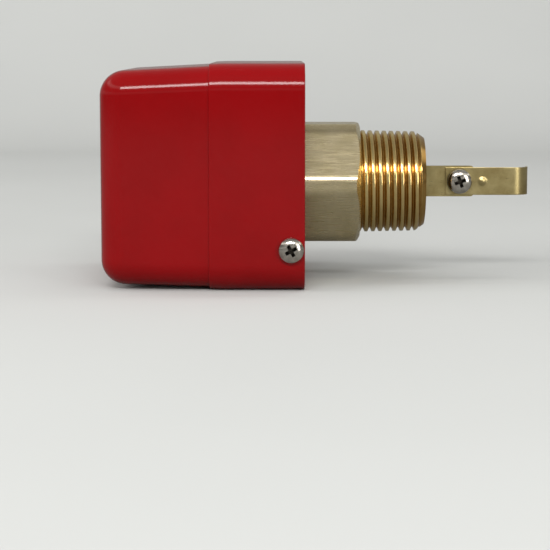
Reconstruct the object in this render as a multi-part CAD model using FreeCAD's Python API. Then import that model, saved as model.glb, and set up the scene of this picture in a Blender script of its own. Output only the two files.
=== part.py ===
# Paddle flow switch: a brass pipe fitting with a swinging paddle, under a red moulded cover.
#
# Millimetres. +X runs along the fitting and out of the housing. The origin is on the fitting's axis,
# where the thread meets the hexagon. +Z is up while the switch lies on its side, and -Y is the side
# with the lower cover screw. Water that flows towards -Y pushes the paddle towards -Y.
import FreeCAD, Part
import math
import os

V = FreeCAD.Vector

# Fitting
thread_diameter = 33.25        # one inch pipe thread
thread_length = 21.0
thread_pitch = 2.309           # eleven turns to the inch
thread_depth = 1.479
thread_root_flat = 0.289
thread_flank_angle = 27.5
thread_lead_length = 3.3       # bevel at the thread's free end, along the axis
thread_lead_depth = 2.4        # the same bevel, across the axis
hexagon_across = 38.0
hexagon_corner_radius = 20.8   # the bar's corners are turned down to this radius
hexagon_showing = 18.3         # from the cover's rim to the thread
hexagon_crown = 18.2           # radius where the 30 degree bevel starts on the hexagon's end face
crown_angle = 30.0
chamber_radius = 12.5          # wide bore, from the thread's end to the pivot carrier's seat
chamber_floor = -16.0          # where the wide bore ends
neck_radius = 14.5
neck_bore_radius = 11.5
neck_end = -33.0
fitting_gasket_thickness = 1.0

# Cover
cover_height = 70.0
cover_centre_height = 3.75     # middle of the cover above the fitting's axis
cover_wall = 2.5
cover_end_wall = 2.8
rear_length = 29.5             # straight part, from the rim to the step
step_height = 0.8
step_round = 0.5
side_draft = 3.0
top_draft = 3.0
bottom_draft = 1.4
corner_radius = 8.5
end_round = 7.5
ledge_width = 1.5
ledge_length = 3.0

# Label
label_width = 48.5
label_height = 33.0
label_thickness = 0.4
label_round = 2.0
label_pocket_margin = 1.0
label_pocket_depth = 0.3

# Base plate
base_recess = 1.5              # from the cover's rim to the plate
base_thickness = 3.0
base_rim_wall = 2.5
base_rim_depth = 7.0
boss_depth = 8.0               # bosses for the cover screws
boss_half_width = 5.0
cover_gasket_thickness = 1.5
cover_gasket_width = 2.0

# Screws of the cover: M4 pan head
cover_screw_radius = 2.0
cover_screw_head_radius = 4.0
cover_screw_head_height = 2.6
cover_screw_length = 11.0
cover_screw_from_rim = 4.3
cover_screw_from_edge = 13.0

# Nut and washer on the neck
neck_nut_wall = 3.45           # round its thread, at the flats
neck_nut_height = 6.0
neck_washer_width = 2.3
neck_washer_thickness = 0.8

# Cable grommet
cable_hole_radius = 4.0
grommet_hub_radius = 6.0
grommet_flange_radius = 7.4
grommet_flange_thickness = 1.5
grommet_height = 10.0          # above the fitting's axis
grommet_from_rim = 1.3         # flange to the base's rim wall

# Lever and pivot
swing_angle = 4.0
pivot_x = -8.0
pivot_pin_radius = 1.5
hub_radius = 4.0
hub_half_height = 7.0
carrier_bore_radius = 8.5
carrier_length = 14.0
lever_width = 10.0
lever_thickness = 1.5
lever_reach = 16.5             # beyond the thread's end
lever_corner = 1.0
rod_radius = 2.5
rod_end = -37.0
stud_radius = 1.5
stud_length = 5.0

# Bellows
bellows_crest_radius = 9.4
bellows_root_radius = 6.6
bellows_wall = 0.45
bellows_length = 15.0
bellows_folds = 6
bellows_cap_radius = 7.0
bellows_cap_thickness = 1.5

# Paddle
paddle_width = 9.0
paddle_thickness = 0.5
paddle_screw_from_thread = 11.8
paddle_behind_screw = 4.6
bend_from_thread = 29.6
bend_radius = 5.0              # outside of the hook at the paddle's end
hook_tail = 1.5
dimple_from_thread = 19.3
dimple_radius = 1.4
dimple_height = 0.5
paddle_screw_radius = 2.0
paddle_screw_head_radius = 4.0
paddle_screw_head_height = 2.4
lock_washer_radius = 4.1
lock_washer_thickness = 0.9
paddle_nut_across = 7.0
paddle_nut_height = 3.2
screw_stands_out = 1.0         # thread left beyond a nut

# Inner arm
arm_thickness = 1.5
arm_half_width = 4.0
arm_beyond_roller = 4.0
arm_nut_across = 5.5
arm_nut_height = 2.4

# Snap switch
switch_length = 36.0
switch_height = 15.5
switch_thickness = 16.0
switch_from_end = 2.3          # to the inside of the cover's closed end
switch_shield_from_side = 7.32 # to the inside of the cover's side
plunger_radius = 1.5
plunger_length = 6.0
plunger_from_hinge = 7.0
plunger_hole_beyond = 2.0
hinge_from_switch_end = 3.5
hinge_above_switch = 1.5
hinge_pin_radius = 0.75
hinge_barrel_radius = 1.2
hinge_barrel_half = 3.0
hinge_ear_thickness = 1.5
hinge_ear_half_length = 1.5
roller_radius = 2.2
roller_half_width = 1.6
roller_axle_radius = 1.0
roller_from_hinge = 17.0
hinge_rise = 4.3               # roller's axle above the actuator's hinge
leaf_thickness = 0.5
leaf_half_width = 2.5
leaf_ear_half = 1.7
switch_screw_radius = 1.5
switch_screw_spacing = 25.0
switch_screw_from_end = 5.0
switch_screw_above_floor = 6.8
switch_screw_head_radius = 2.8
switch_screw_head_height = 2.0
switch_nut_across = 5.5
switch_nut_height = 2.4
terminal_count = 3
terminal_spacing = 12.0
terminal_length = 8.0
terminal_width = 10.0
terminal_thickness = 1.0
terminal_screw_radius = 1.75
terminal_screw_depth = 4.0
terminal_head_radius = 3.3
terminal_head_height = 2.0
sheet_thickness = 0.5
sheet_over_terminals = 0.4

# Bracket
bracket_gauge = 1.5
leg_width = 8.0
foot_height = 14.0
foot_screw_drop = 8.0          # foot screws below the switch's underside
plate_end_margin = 2.5         # plate shorter than the switch at the closed end
comb_from_neck = 1.0
comb_half_width = 11.0
ear_half_width = 7.0
bracket_screw_radius = 2.0
bracket_screw_head_radius = 4.0
bracket_screw_head_height = 2.3
bracket_nut_across = 7.0
bracket_nut_height = 3.2

# Range spring and its screw: M5
spring_from_comb = 21.0
spring_from_roller = 1.0
spring_coil_radius = 4.0
spring_wire_radius = 0.45
spring_half_turns = 13
spring_length = 16.5
rivet_flange_radius = 4.2
rivet_flange_thickness = 1.0
rivet_stub_radius = 2.4
rivet_stub_length = 2.5
rivet_tail_radius = 1.45
seat_thickness = 3.0
seat_half_width = 5.0
seat_top = 6.0
seat_hub_radius = 3.4
seat_hub_length = 2.0
range_screw_radius = 2.5
range_screw_ahead_of_seat = 5.5
range_head_radius = 4.5
range_head_height = 3.5
range_slot_width = 1.2
range_slot_depth = 1.5
range_clip_radius = 4.5
range_clip_thickness = 1.0

# Earth screw: M4 in a boss on the base plate
earth_boss_radius = 5.0
earth_boss_height = 4.0
earth_screw_radius = 2.0
earth_screw_length = 5.0
earth_head_radius = 4.0
earth_head_height = 2.4
earth_from_side = 11.7
earth_from_top = 11.5

# Clearances
thread_clearance = 0.05        # round a screw in its tapped hole, and a pin in its seat
running_clearance = 0.06       # round a shaft that turns or slides
hole_clearance = 0.2           # round a screw or the neck in a plain hole
stop_clearance = 0.3           # between a moving piece and its stop
end_clearance = 0.1            # end play
cover_clearance = 0.3          # between the base plate and the cover

# Places along the fitting's axis, from the thread to the cover's closed end
rim_x = -hexagon_showing
step_x = rim_x - rear_length
base_outer_x = rim_x - base_recess
base_inner_x = base_outer_x - base_thickness
base_rim_x = base_outer_x - base_rim_depth
hexagon_back_x = base_outer_x + fitting_gasket_thickness
ledge_x = base_rim_x - cover_gasket_thickness
foot_x = base_inner_x - bracket_gauge
paddle_screw_x = thread_length + paddle_screw_from_thread
neck_nut_across = 2 * (neck_radius + thread_clearance + neck_nut_wall)
neck_washer_radius = neck_radius + hole_clearance + neck_washer_width
comb_x = neck_end - comb_from_neck
spring_x = comb_x - spring_from_comb
roller_x = spring_x - spring_from_roller
hinge_x = roller_x - roller_from_hinge
switch_end_x = hinge_x - hinge_from_switch_end
switch_front_x = switch_end_x + switch_length
switch_middle_x = (switch_end_x + switch_front_x) / 2
inner_end_x = switch_end_x - switch_from_end
end_x = inner_end_x - cover_end_wall
arm_end_x = roller_x - arm_beyond_roller

# Places across it, from the inner arm to the cover's side. The arm lies beside the nut that holds it,
# the switch lies beside the arm, and the cover is as wide as its switch needs.
arm_inner_y = -(arm_nut_across / math.sqrt(3) + stop_clearance)
arm_outer_y = arm_inner_y - arm_thickness
roller_y = arm_outer_y - stop_clearance - roller_radius
hinge_y = roller_y - hinge_rise
switch_top_y = hinge_y - hinge_above_switch
switch_floor_y = switch_top_y - switch_height
shield_y = switch_floor_y - terminal_thickness - terminal_head_height - sheet_over_terminals
cover_width = 2 * (switch_shield_from_side + sheet_thickness - shield_y + cover_wall)

# Places up and down
low_z = cover_centre_height - cover_height / 2
high_z = cover_centre_height + cover_height / 2
base_half_width = cover_width / 2 - cover_wall - cover_clearance
base_low_z = low_z + cover_wall + cover_clearance
base_high_z = high_z - cover_wall - cover_clearance
base_corner = corner_radius - cover_wall - cover_clearance
screw_low_z = low_z + cover_screw_from_edge
screw_high_z = high_z - cover_screw_from_edge
cover_screw_x = rim_x - cover_screw_from_rim

# The bracket
switch_half = switch_thickness / 2
plate_top_z = -switch_half
plate_low_z = plate_top_z - bracket_gauge
leg_inner_y = neck_nut_across / 2 - 0.5
leg_outer_y = leg_inner_y + leg_width
leg_middle_y = (leg_inner_y + leg_outer_y) / 2
foot_screw_z = plate_top_z - foot_screw_drop
ear_inner_y = leg_outer_y - bracket_gauge
rivet_face_y = arm_inner_y + rivet_flange_thickness
seat_face_y = rivet_face_y + spring_length


def box(x, y, z):
    """Block between two ends along each axis."""
    return Part.makeBox(x[1] - x[0], y[1] - y[0], z[1] - z[0], V(x[0], y[0], z[0]))


def rod(radius, start, end):
    """Round bar from one point to another."""
    way = end - start
    return Part.makeCylinder(radius, way.Length, start, way)


def ring(radius, hole, start, end):
    """Round bar with a hole along its axis."""
    return rod(radius, start, end).cut(rod(hole, start, end))


def along_x(radius, x, y=0.0, z=0.0):
    """Round bar along X between two places."""
    return rod(radius, V(x[0], y, z), V(x[1], y, z))


def along_y(radius, y, x, z=0.0):
    """Round bar along Y between two places."""
    return rod(radius, V(x, y[0], z), V(x, y[1], z))


def along_z(radius, z, x, y=0.0):
    """Round bar along Z between two places."""
    return rod(radius, V(x, y, z[0]), V(x, y, z[1]))


def placed(shape, point, way):
    """Copy of a shape made along +Z from the origin, turned to a direction and moved to a point."""
    copy = shape.copy()
    copy.Placement = FreeCAD.Placement(point, FreeCAD.Rotation(V(0, 0, 1), way))
    return copy


def hexagon(across, height, turn=0):
    """Six-sided bar along +Z; at a turn of 0 two of its flats face +Y and -Y."""
    corner = across / math.sqrt(3)
    points = [V(corner * math.cos(math.radians(a)), corner * math.sin(math.radians(a)), 0)
              for a in range(turn, turn + 361, 60)]
    return Part.Face(Part.makePolygon(points)).extrude(V(0, 0, height))


def nut(across, height, hole, turn=0):
    """Nut along +Z whose corners are turned off by a cone at both ends."""
    corner = across / math.sqrt(3)
    drop = (corner - across / 2) * math.tan(math.radians(crown_angle))
    profile = [V(0, 0, 0), V(across / 2, 0, 0), V(corner, 0, drop),
               V(corner, 0, height - drop), V(across / 2, 0, height), V(0, 0, height), V(0, 0, 0)]
    crown = Part.Face(Part.makePolygon(profile)).revolve(V(0, 0, 0), V(0, 0, 1), 360)
    return hexagon(across, height, turn).common(crown).cut(Part.makeCylinder(hole, height))


def pan_screw(radius, length, head_radius, head_height):
    """Screw whose crowned head stands on the plane z = 0 and whose shank runs down from it."""
    side = head_height * 0.35
    crown = head_height * 0.8
    profile = [V(0, 0, 0), V(head_radius, 0, 0), V(head_radius, 0, side), V(head_radius * 0.85, 0, crown),
               V(head_radius * 0.45, 0, head_height), V(0, 0, head_height), V(0, 0, 0)]
    head = Part.Face(Part.makePolygon(profile)).revolve(V(0, 0, 0), V(0, 0, 1), 360)
    return head.fuse(Part.makeCylinder(radius, length, V(0, 0, -length)))


def countersunk_screw(radius, length, head_radius, head_height):
    """Screw whose flat head lies flush with the plane z = 0."""
    head = Part.makeCone(radius, head_radius, head_height, V(0, 0, -head_height))
    return head.fuse(Part.makeCylinder(radius, length, V(0, 0, -length)))


def outline(x, half_width, low, high, radius):
    """Closed wire of a rounded rectangle across the fitting's axis."""
    corners = [(half_width - radius, high - radius, 0), (radius - half_width, high - radius, 90),
               (radius - half_width, low + radius, 180), (half_width - radius, low + radius, 270)]
    arcs = []
    for y, z, start in corners:
        on_arc = [V(x, y + radius * math.cos(math.radians(start + turn)),
                    z + radius * math.sin(math.radians(start + turn))) for turn in (0, 45, 90)]
        arcs.append(on_arc)
    edges = []
    for number, on_arc in enumerate(arcs):
        edges.append(Part.Arc(*on_arc).toShape())
        edges.append(Part.LineSegment(on_arc[2], arcs[(number + 1) % 4][0]).toShape())
    return Part.Wire(edges)


def straight_block(x, half_width, low, high, radius):
    """Rounded rectangular bar along X."""
    return Part.Face(outline(x[0], half_width, low, high, radius)).extrude(V(x[1] - x[0], 0, 0))


def edges_at(shape, x):
    """Edges that lie in the plane across the axis at x."""
    return [e for e in shape.Edges if abs(e.BoundBox.XMin - x) < 1e-4 and abs(e.BoundBox.XMax - x) < 1e-4]


def tapered_block(x, inset, radius, end_radius):
    """The cover's tapered half from the step to x, drawn in by a wall, with its end edges rounded."""
    half = cover_width / 2 - step_height - inset
    low = low_z + step_height + inset
    high = high_z - step_height - inset
    run = step_x - x
    start = outline(step_x, half, low, high, radius)
    finish = outline(x, half - run * math.tan(math.radians(side_draft)),
                     low + run * math.tan(math.radians(bottom_draft)),
                     high - run * math.tan(math.radians(top_draft)), radius)
    block = Part.makeLoft([start, finish], True, True)
    return block.makeFillet(end_radius, edges_at(block, x))


def cover_screw_places():
    """Point and outward direction of each cover screw."""
    side = cover_width / 2
    return [(V(cover_screw_x, -side, screw_low_z), V(0, -1, 0)),
            (V(cover_screw_x, side, screw_high_z), V(0, 1, 0))]


def label_centre_z():
    """Middle of the closed end's face."""
    run = step_x - end_x
    low = low_z + step_height + run * math.tan(math.radians(bottom_draft))
    high = high_z - step_height - run * math.tan(math.radians(top_draft))
    return (low + high) / 2


def label_block(margin, x):
    """Rounded plate in the place of the label."""
    middle = label_centre_z()
    return straight_block(x, label_width / 2 + margin, middle - label_height / 2 - margin,
                          middle + label_height / 2 + margin, label_round + margin)


def make_cover():
    """Moulded cup: straight half at the rim, a small step, then a tapered half with rounded end edges."""
    rear = straight_block((step_x, rim_x), cover_width / 2, low_z, high_z, corner_radius)
    rear = rear.makeFillet(step_round, edges_at(rear, step_x))
    body = rear.fuse(tapered_block(end_x, 0.0, corner_radius, end_round))
    inner = corner_radius - cover_wall
    half = cover_width / 2 - cover_wall
    low = low_z + cover_wall
    high = high_z - cover_wall
    body = body.cut(straight_block((ledge_x, rim_x), half, low, high, inner))
    body = body.cut(straight_block((ledge_x - ledge_length, ledge_x), half - ledge_width,
                                   low + ledge_width, high - ledge_width, inner - ledge_width))
    body = body.cut(straight_block((step_x, ledge_x - ledge_length), half, low, high, inner))
    body = body.cut(tapered_block(inner_end_x, cover_wall, inner, end_round - cover_wall))
    for point, way in cover_screw_places():
        body = body.cut(rod(cover_screw_radius + hole_clearance, point + way, point - way * (cover_wall + 1)))
    pocket = label_block(label_pocket_margin, (end_x - 1, end_x + label_pocket_depth))
    return body.cut(pocket)


def make_cover_screws():
    """M4 pan head screws on the two sides."""
    screw = pan_screw(cover_screw_radius, cover_screw_length, cover_screw_head_radius,
                      cover_screw_head_height)
    return Part.makeCompound([placed(screw, point, way) for point, way in cover_screw_places()])


def make_label_plate():
    """Label set in the shallow pocket of the closed end."""
    floor = end_x + label_pocket_depth
    return label_block(0.0, (floor - label_thickness, floor))


def grommet_centre():
    """Place of the cable grommet in the base plate."""
    inside = base_half_width - base_rim_wall
    return V(base_outer_x, inside - grommet_from_rim - grommet_flange_radius, grommet_height)


def earth_centre():
    """Place of the earth screw on the base plate."""
    return V(base_inner_x, earth_from_side - base_half_width, base_high_z - earth_from_top)


def foot_screw_points():
    """Places of the bracket's screws on the base plate's outer face."""
    return [V(base_outer_x, side * leg_middle_y, foot_screw_z) for side in (-1, 1)]


def make_base_plate():
    """Cast plate with a rim, bosses for the cover screws and an earth boss."""
    span = (base_rim_x, base_outer_x)
    body = straight_block(span, base_half_width, base_low_z, base_high_z, base_corner)
    hollow = straight_block((base_rim_x, base_inner_x), base_half_width - base_rim_wall,
                            base_low_z + base_rim_wall, base_high_z - base_rim_wall,
                            base_corner - base_rim_wall)
    body = body.cut(hollow)
    for side, z in ((-1, screw_low_z), (1, screw_high_z)):
        ends = sorted((side * (base_half_width - 1), side * (base_half_width - boss_depth)))
        body = body.fuse(box(span, ends, (z - boss_half_width, z + boss_half_width)))
    earth = earth_centre()
    body = body.fuse(rod(earth_boss_radius, earth, earth - V(earth_boss_height, 0, 0)))
    top = earth - V(earth_boss_height, 0, 0)
    body = body.cut(rod(earth_screw_radius + thread_clearance, top, top + V(earth_screw_length + 0.2, 0, 0)))
    body = body.cut(along_x(neck_radius + hole_clearance, (base_inner_x - 1, base_outer_x + 1)))
    centre = grommet_centre()
    body = body.cut(along_x(grommet_hub_radius + end_clearance, (base_inner_x - 1, base_outer_x + 1),
                            centre.y, centre.z))
    for point, way in cover_screw_places():
        body = body.cut(rod(cover_screw_radius + thread_clearance, point,
                            point - way * (cover_screw_length + hole_clearance)))
    for point in foot_screw_points():
        body = body.cut(rod(bracket_screw_radius + hole_clearance, point + V(1, 0, 0),
                            point - V(base_thickness + 1, 0, 0)))
        depth = bracket_screw_head_height + end_clearance
        body = body.cut(Part.makeCone(bracket_screw_head_radius + end_clearance,
                                      bracket_screw_radius + end_clearance, depth, point, V(-1, 0, 0)))
    return body.removeSplitter()


def make_cover_gasket():
    """Flat ring between the base plate's rim and the cover's ledge."""
    span = (ledge_x, base_rim_x)
    inset = cover_gasket_width
    outer = straight_block(span, base_half_width, base_low_z, base_high_z, base_corner)
    return outer.cut(straight_block(span, base_half_width - inset, base_low_z + inset,
                                    base_high_z - inset, base_corner - inset))


def make_cable_grommet():
    """Rubber ring with a groove for the base plate's edge."""
    centre = grommet_centre()
    y, z = centre.y, centre.z
    outer = (base_outer_x, base_outer_x + grommet_flange_thickness)
    inner = (base_inner_x - grommet_flange_thickness, base_inner_x)
    body = along_x(grommet_hub_radius, (inner[0], outer[1]), y, z)
    body = body.fuse(along_x(grommet_flange_radius, outer, y, z))
    body = body.fuse(along_x(grommet_flange_radius, inner, y, z))
    return body.cut(along_x(cable_hole_radius, (inner[0], outer[1]), y, z)).removeSplitter()


def turned(points):
    """Body that an outline above the axis gives when it is turned about X."""
    return Part.Face(Part.makePolygon(points + points[:1])).revolve(V(0, 0, 0), V(1, 0, 0), 360)


def thread_groove(x):
    """Ring of the thread's form to cut at x, slightly taller than the thread is deep."""
    root = thread_diameter / 2 - thread_depth
    over = root + thread_depth * 1.1
    half_root = thread_root_flat / 2
    half_top = half_root + (over - root) * math.tan(math.radians(thread_flank_angle))
    return turned([V(x - half_root, root, 0), V(x + half_root, root, 0), V(x + half_top, over, 0),
                   V(x - half_top, over, 0)])


def make_fitting_body():
    """Brass fitting: hexagon, pipe thread and the neck that passes through the base plate.

    The thread is cut as separate rings at its pitch, because its slope hardly shows.
    """
    corner = hexagon_corner_radius
    drop = (corner - hexagon_crown) * math.tan(math.radians(crown_angle))
    bar = placed(hexagon(hexagon_across, -hexagon_back_x, 30), V(hexagon_back_x, 0, 0), V(1, 0, 0))
    body = bar.common(turned([V(hexagon_back_x, 0, 0), V(hexagon_back_x, corner, 0), V(-drop, corner, 0),
                              V(0, hexagon_crown, 0), V(0, 0, 0)]))
    crest = thread_diameter / 2
    lead_start = thread_length - thread_lead_length
    body = body.fuse(turned([V(0, 0, 0), V(0, crest, 0), V(lead_start, crest, 0),
                             V(thread_length, crest - thread_lead_depth, 0), V(thread_length, 0, 0)]))
    for turn in range(round(lead_start / thread_pitch)):
        body = body.cut(thread_groove((turn + 0.5) * thread_pitch))
    body = body.fuse(along_x(neck_radius, (neck_end, hexagon_back_x)))
    body = body.cut(along_x(chamber_radius, (chamber_floor, thread_length)))
    return body.cut(along_x(neck_bore_radius, (neck_end, chamber_floor))).removeSplitter()


def make_fitting_gasket():
    """Fibre ring between the hexagon and the base plate."""
    return ring(hexagon_across / 2 - 0.5, neck_radius + hole_clearance,
                V(base_outer_x, 0, 0), V(hexagon_back_x, 0, 0))


def make_neck_washer():
    """Plain washer under the neck nut."""
    return ring(neck_washer_radius, neck_radius + hole_clearance,
                V(base_inner_x - neck_washer_thickness, 0, 0), V(base_inner_x, 0, 0))


def make_neck_nut():
    """Large nut that clamps the fitting to the base plate."""
    body = nut(neck_nut_across, neck_nut_height, neck_radius + thread_clearance, 30)
    return placed(body, V(base_inner_x - neck_washer_thickness, 0, 0), V(-1, 0, 0))


def make_pivot_carrier():
    """Brass sleeve in the fitting's chamber that holds the pivot pin."""
    body = ring(chamber_radius - thread_clearance, carrier_bore_radius,
                V(chamber_floor, 0, 0), V(chamber_floor + carrier_length, 0, 0))
    return body.cut(along_z(pivot_pin_radius + thread_clearance, (-chamber_radius, chamber_radius), pivot_x))


def make_pivot_pin():
    """Pin that the lever swings on."""
    half = math.sqrt((chamber_radius - thread_clearance) ** 2 - pivot_pin_radius ** 2) - end_clearance
    return along_z(pivot_pin_radius, (-half, half), pivot_x)


def make_lever():
    """Brass lever: flat strip outside, hub on the pivot pin, round rod and stud inside."""
    tip = thread_length + lever_reach
    half = lever_width / 2
    strip = box((pivot_x, tip), (-lever_thickness / 2, lever_thickness / 2), (-half, half))
    strip = strip.makeFillet(lever_corner, [e for e in strip.Edges
                                            if e.BoundBox.XMin > tip - 1e-4 and e.BoundBox.YLength > 1e-4])
    body = strip.fuse(along_z(hub_radius, (-hub_half_height, hub_half_height), pivot_x))
    body = body.fuse(along_x(rod_radius, (rod_end, pivot_x)))
    body = body.fuse(along_x(stud_radius, (rod_end - stud_length, rod_end)))
    body = body.cut(along_z(pivot_pin_radius + running_clearance, (-hub_half_height, hub_half_height),
                            pivot_x))
    return body.cut(along_y(paddle_screw_radius + hole_clearance, (-half, half), paddle_screw_x))


def make_bellows():
    """Thin corrugated sleeve between the pivot carrier and the cap on the lever's rod."""
    steps = 2 * bellows_folds - 1
    outer = []
    for number in range(steps + 1):
        radius = bellows_crest_radius if number % 2 == 0 else bellows_root_radius
        outer.append(V(chamber_floor - bellows_length * number / steps, radius, 0))
    inner = [point - V(0, bellows_wall, 0) for point in reversed(outer)]
    profile = Part.Face(Part.makePolygon(outer + inner + [outer[0]]))
    return profile.revolve(V(0, 0, 0), V(1, 0, 0), 360)


def make_bellows_cap():
    """Disc soldered to the bellows and to the lever's rod."""
    start = chamber_floor - bellows_length
    return ring(bellows_cap_radius, rod_radius + thread_clearance,
                V(start - bellows_cap_thickness, 0, 0), V(start, 0, 0))


def make_paddle_strip():
    """Thin strip on the lever, with a dimple and a hooked end that turns away from its face."""
    front = -lever_thickness / 2 - paddle_thickness
    back = -lever_thickness / 2
    start = paddle_screw_x - paddle_behind_screw
    bend = thread_length + bend_from_thread
    centre = front + bend_radius
    small = bend_radius - paddle_thickness
    tail = centre + hook_tail
    turn = math.radians(45)
    outer_middle = V(bend + bend_radius * math.sin(turn), centre - bend_radius * math.cos(turn), 0)
    inner_middle = V(bend + small * math.sin(turn), centre - small * math.cos(turn), 0)
    edges = [Part.LineSegment(V(start, front, 0), V(bend, front, 0)).toShape(),
             Part.Arc(V(bend, front, 0), outer_middle, V(bend + bend_radius, centre, 0)).toShape(),
             Part.LineSegment(V(bend + bend_radius, centre, 0), V(bend + bend_radius, tail, 0)).toShape(),
             Part.LineSegment(V(bend + bend_radius, tail, 0), V(bend + small, tail, 0)).toShape(),
             Part.LineSegment(V(bend + small, tail, 0), V(bend + small, centre, 0)).toShape(),
             Part.Arc(V(bend + small, centre, 0), inner_middle, V(bend, back, 0)).toShape(),
             Part.LineSegment(V(bend, back, 0), V(start, back, 0)).toShape(),
             Part.LineSegment(V(start, back, 0), V(start, front, 0)).toShape()]
    body = Part.Face(Part.Wire(edges)).extrude(V(0, 0, paddle_width))
    body.translate(V(0, 0, -paddle_width / 2))
    ball = (dimple_radius ** 2 + dimple_height ** 2) / (2 * dimple_height)
    dimple = Part.makeSphere(ball, V(thread_length + dimple_from_thread, front + ball - dimple_height, 0))
    reach = dimple_radius + 1
    middle = thread_length + dimple_from_thread
    dimple = dimple.common(box((middle - reach, middle + reach), (front - 1, front + paddle_thickness / 2),
                               (-reach, reach)))
    body = body.fuse(dimple)
    return body.cut(along_y(paddle_screw_radius + hole_clearance, (front - 1, back + 1), paddle_screw_x))


def paddle_stack():
    """Y of the lock washer's face, the screw head's seat and the lever's back."""
    washer = -lever_thickness / 2 - paddle_thickness
    return washer, washer - lock_washer_thickness, lever_thickness / 2


def make_paddle_lock_washer():
    """Lock washer between the screw's head and the paddle."""
    washer, head, _ = paddle_stack()
    return ring(lock_washer_radius, paddle_screw_radius + hole_clearance,
                V(paddle_screw_x, head, 0), V(paddle_screw_x, washer, 0))


def make_paddle_screw():
    """M4 pan head screw that clamps the paddle to the lever."""
    _, head, back = paddle_stack()
    length = back - head + paddle_nut_height + screw_stands_out
    screw = pan_screw(paddle_screw_radius, length, paddle_screw_head_radius, paddle_screw_head_height)
    return placed(screw, V(paddle_screw_x, head, 0), V(0, -1, 0))


def make_paddle_nut():
    """Nut on the lever's far side."""
    body = nut(paddle_nut_across, paddle_nut_height, paddle_screw_radius + thread_clearance)
    return placed(body, V(paddle_screw_x, paddle_stack()[2], 0), V(0, 1, 0))


def make_switch_arm():
    """Folded steel arm: a foot on the lever's stud, and a strip that runs to the roller."""
    foot = box((rod_end - arm_thickness, rod_end), (arm_outer_y, arm_half_width),
               (-arm_half_width, arm_half_width))
    strip = box((arm_end_x, rod_end), (arm_outer_y, arm_inner_y), (-arm_half_width, arm_half_width))
    body = foot.fuse(strip).removeSplitter()
    body = body.cut(along_x(stud_radius + thread_clearance, (rod_end - arm_thickness - 1, rod_end + 1)))
    return body.cut(along_y(rivet_tail_radius + thread_clearance, (arm_outer_y - 1, arm_inner_y + 1),
                            spring_x))


def make_arm_nut():
    """Nut that holds the arm on the stud."""
    body = nut(arm_nut_across, arm_nut_height, stud_radius + thread_clearance)
    return placed(body, V(rod_end - arm_thickness, 0, 0), V(-1, 0, 0))


def make_spring_rivet():
    """Rivet on the arm whose flange and stub carry the range spring."""
    body = along_y(rivet_flange_radius, (arm_inner_y, rivet_face_y), spring_x)
    body = body.fuse(along_y(rivet_stub_radius, (rivet_face_y, rivet_face_y + rivet_stub_length), spring_x))
    return body.fuse(along_y(rivet_tail_radius, (arm_outer_y, arm_inner_y), spring_x))


def make_mechanism_bracket():
    """Folded steel plate: two legs with feet, a comb that stops the lever, and an ear for the range screw."""
    z = (plate_low_z, plate_top_z)
    plate_end = switch_end_x + plate_end_margin
    body = box((plate_end, comb_x), (-leg_outer_y, leg_outer_y), z)
    for side in (-1, 1):
        leg = sorted((side * leg_inner_y, side * leg_outer_y))
        body = body.fuse(box((comb_x - 1, base_inner_x), leg, z))
        foot = box((foot_x, base_inner_x), leg, (plate_top_z - foot_height, plate_top_z))
        body = body.fuse(foot)
    comb = box((comb_x - bracket_gauge, comb_x), (-comb_half_width, comb_half_width),
               (plate_low_z, switch_half))
    travel = (pivot_x - comb_x + bracket_gauge) * math.sin(math.radians(swing_angle))
    notch = box((comb_x - bracket_gauge - 1, comb_x + 1),
                (-rod_radius - stop_clearance, rod_radius + travel + stop_clearance),
                (-rod_radius - 2 * stop_clearance, switch_half + 1))
    body = body.fuse(comb.cut(notch))
    ear = box((spring_x - ear_half_width, spring_x + ear_half_width), (ear_inner_y, leg_outer_y),
              (plate_low_z, switch_half))
    body = body.fuse(ear).removeSplitter()
    body = body.cut(along_y(range_screw_radius + running_clearance, (ear_inner_y - 1, leg_outer_y + 1),
                            spring_x))
    for point in foot_screw_points():
        body = body.cut(rod(bracket_screw_radius + hole_clearance, point,
                            point - V(base_thickness + 3, 0, 0)))
    for x in switch_screw_xs():
        body = body.cut(along_z(switch_screw_radius + hole_clearance, (plate_low_z - 1, plate_top_z + 1),
                                x, switch_screw_y()))
    return body


def make_bracket_screws():
    """Countersunk M4 screws, flush in the base plate."""
    length = base_thickness + bracket_gauge + bracket_nut_height + screw_stands_out
    screw = countersunk_screw(bracket_screw_radius, length, bracket_screw_head_radius,
                              bracket_screw_head_height)
    return Part.makeCompound([placed(screw, point, V(1, 0, 0)) for point in foot_screw_points()])


def make_bracket_nuts():
    """Nuts on the bracket's feet."""
    body = nut(bracket_nut_across, bracket_nut_height, bracket_screw_radius + thread_clearance)
    return Part.makeCompound([placed(body, V(foot_x, point.y, point.z), V(-1, 0, 0))
                              for point in foot_screw_points()])


def switch_screw_xs():
    """Places of the snap switch's two screws."""
    first = switch_end_x + switch_screw_from_end
    return [first, first + switch_screw_spacing]


def switch_screw_y():
    """Height of those screws over the switch's floor."""
    return switch_floor_y + switch_screw_above_floor


def terminal_xs():
    """Places of the terminals along the switch."""
    first = switch_middle_x - terminal_spacing * (terminal_count - 1) / 2
    return [first + terminal_spacing * number for number in range(terminal_count)]


def leaf_angle():
    """Slope of the actuator's leaf at rest, in radians."""
    rise = math.atan2(hinge_rise, roller_from_hinge)
    return rise - math.asin(roller_over_leaf() / math.hypot(hinge_rise, roller_from_hinge))


def roller_over_leaf():
    """Height of the roller's axle over the leaf's middle."""
    return roller_radius + stop_clearance + leaf_thickness / 2


def plunger_centre_y():
    """Middle of the plunger's round end, just under the leaf."""
    slope = leaf_angle()
    under = leaf_thickness / 2 + plunger_radius + end_clearance
    return hinge_y + (plunger_from_hinge * math.sin(slope) - under) / math.cos(slope)


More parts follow.
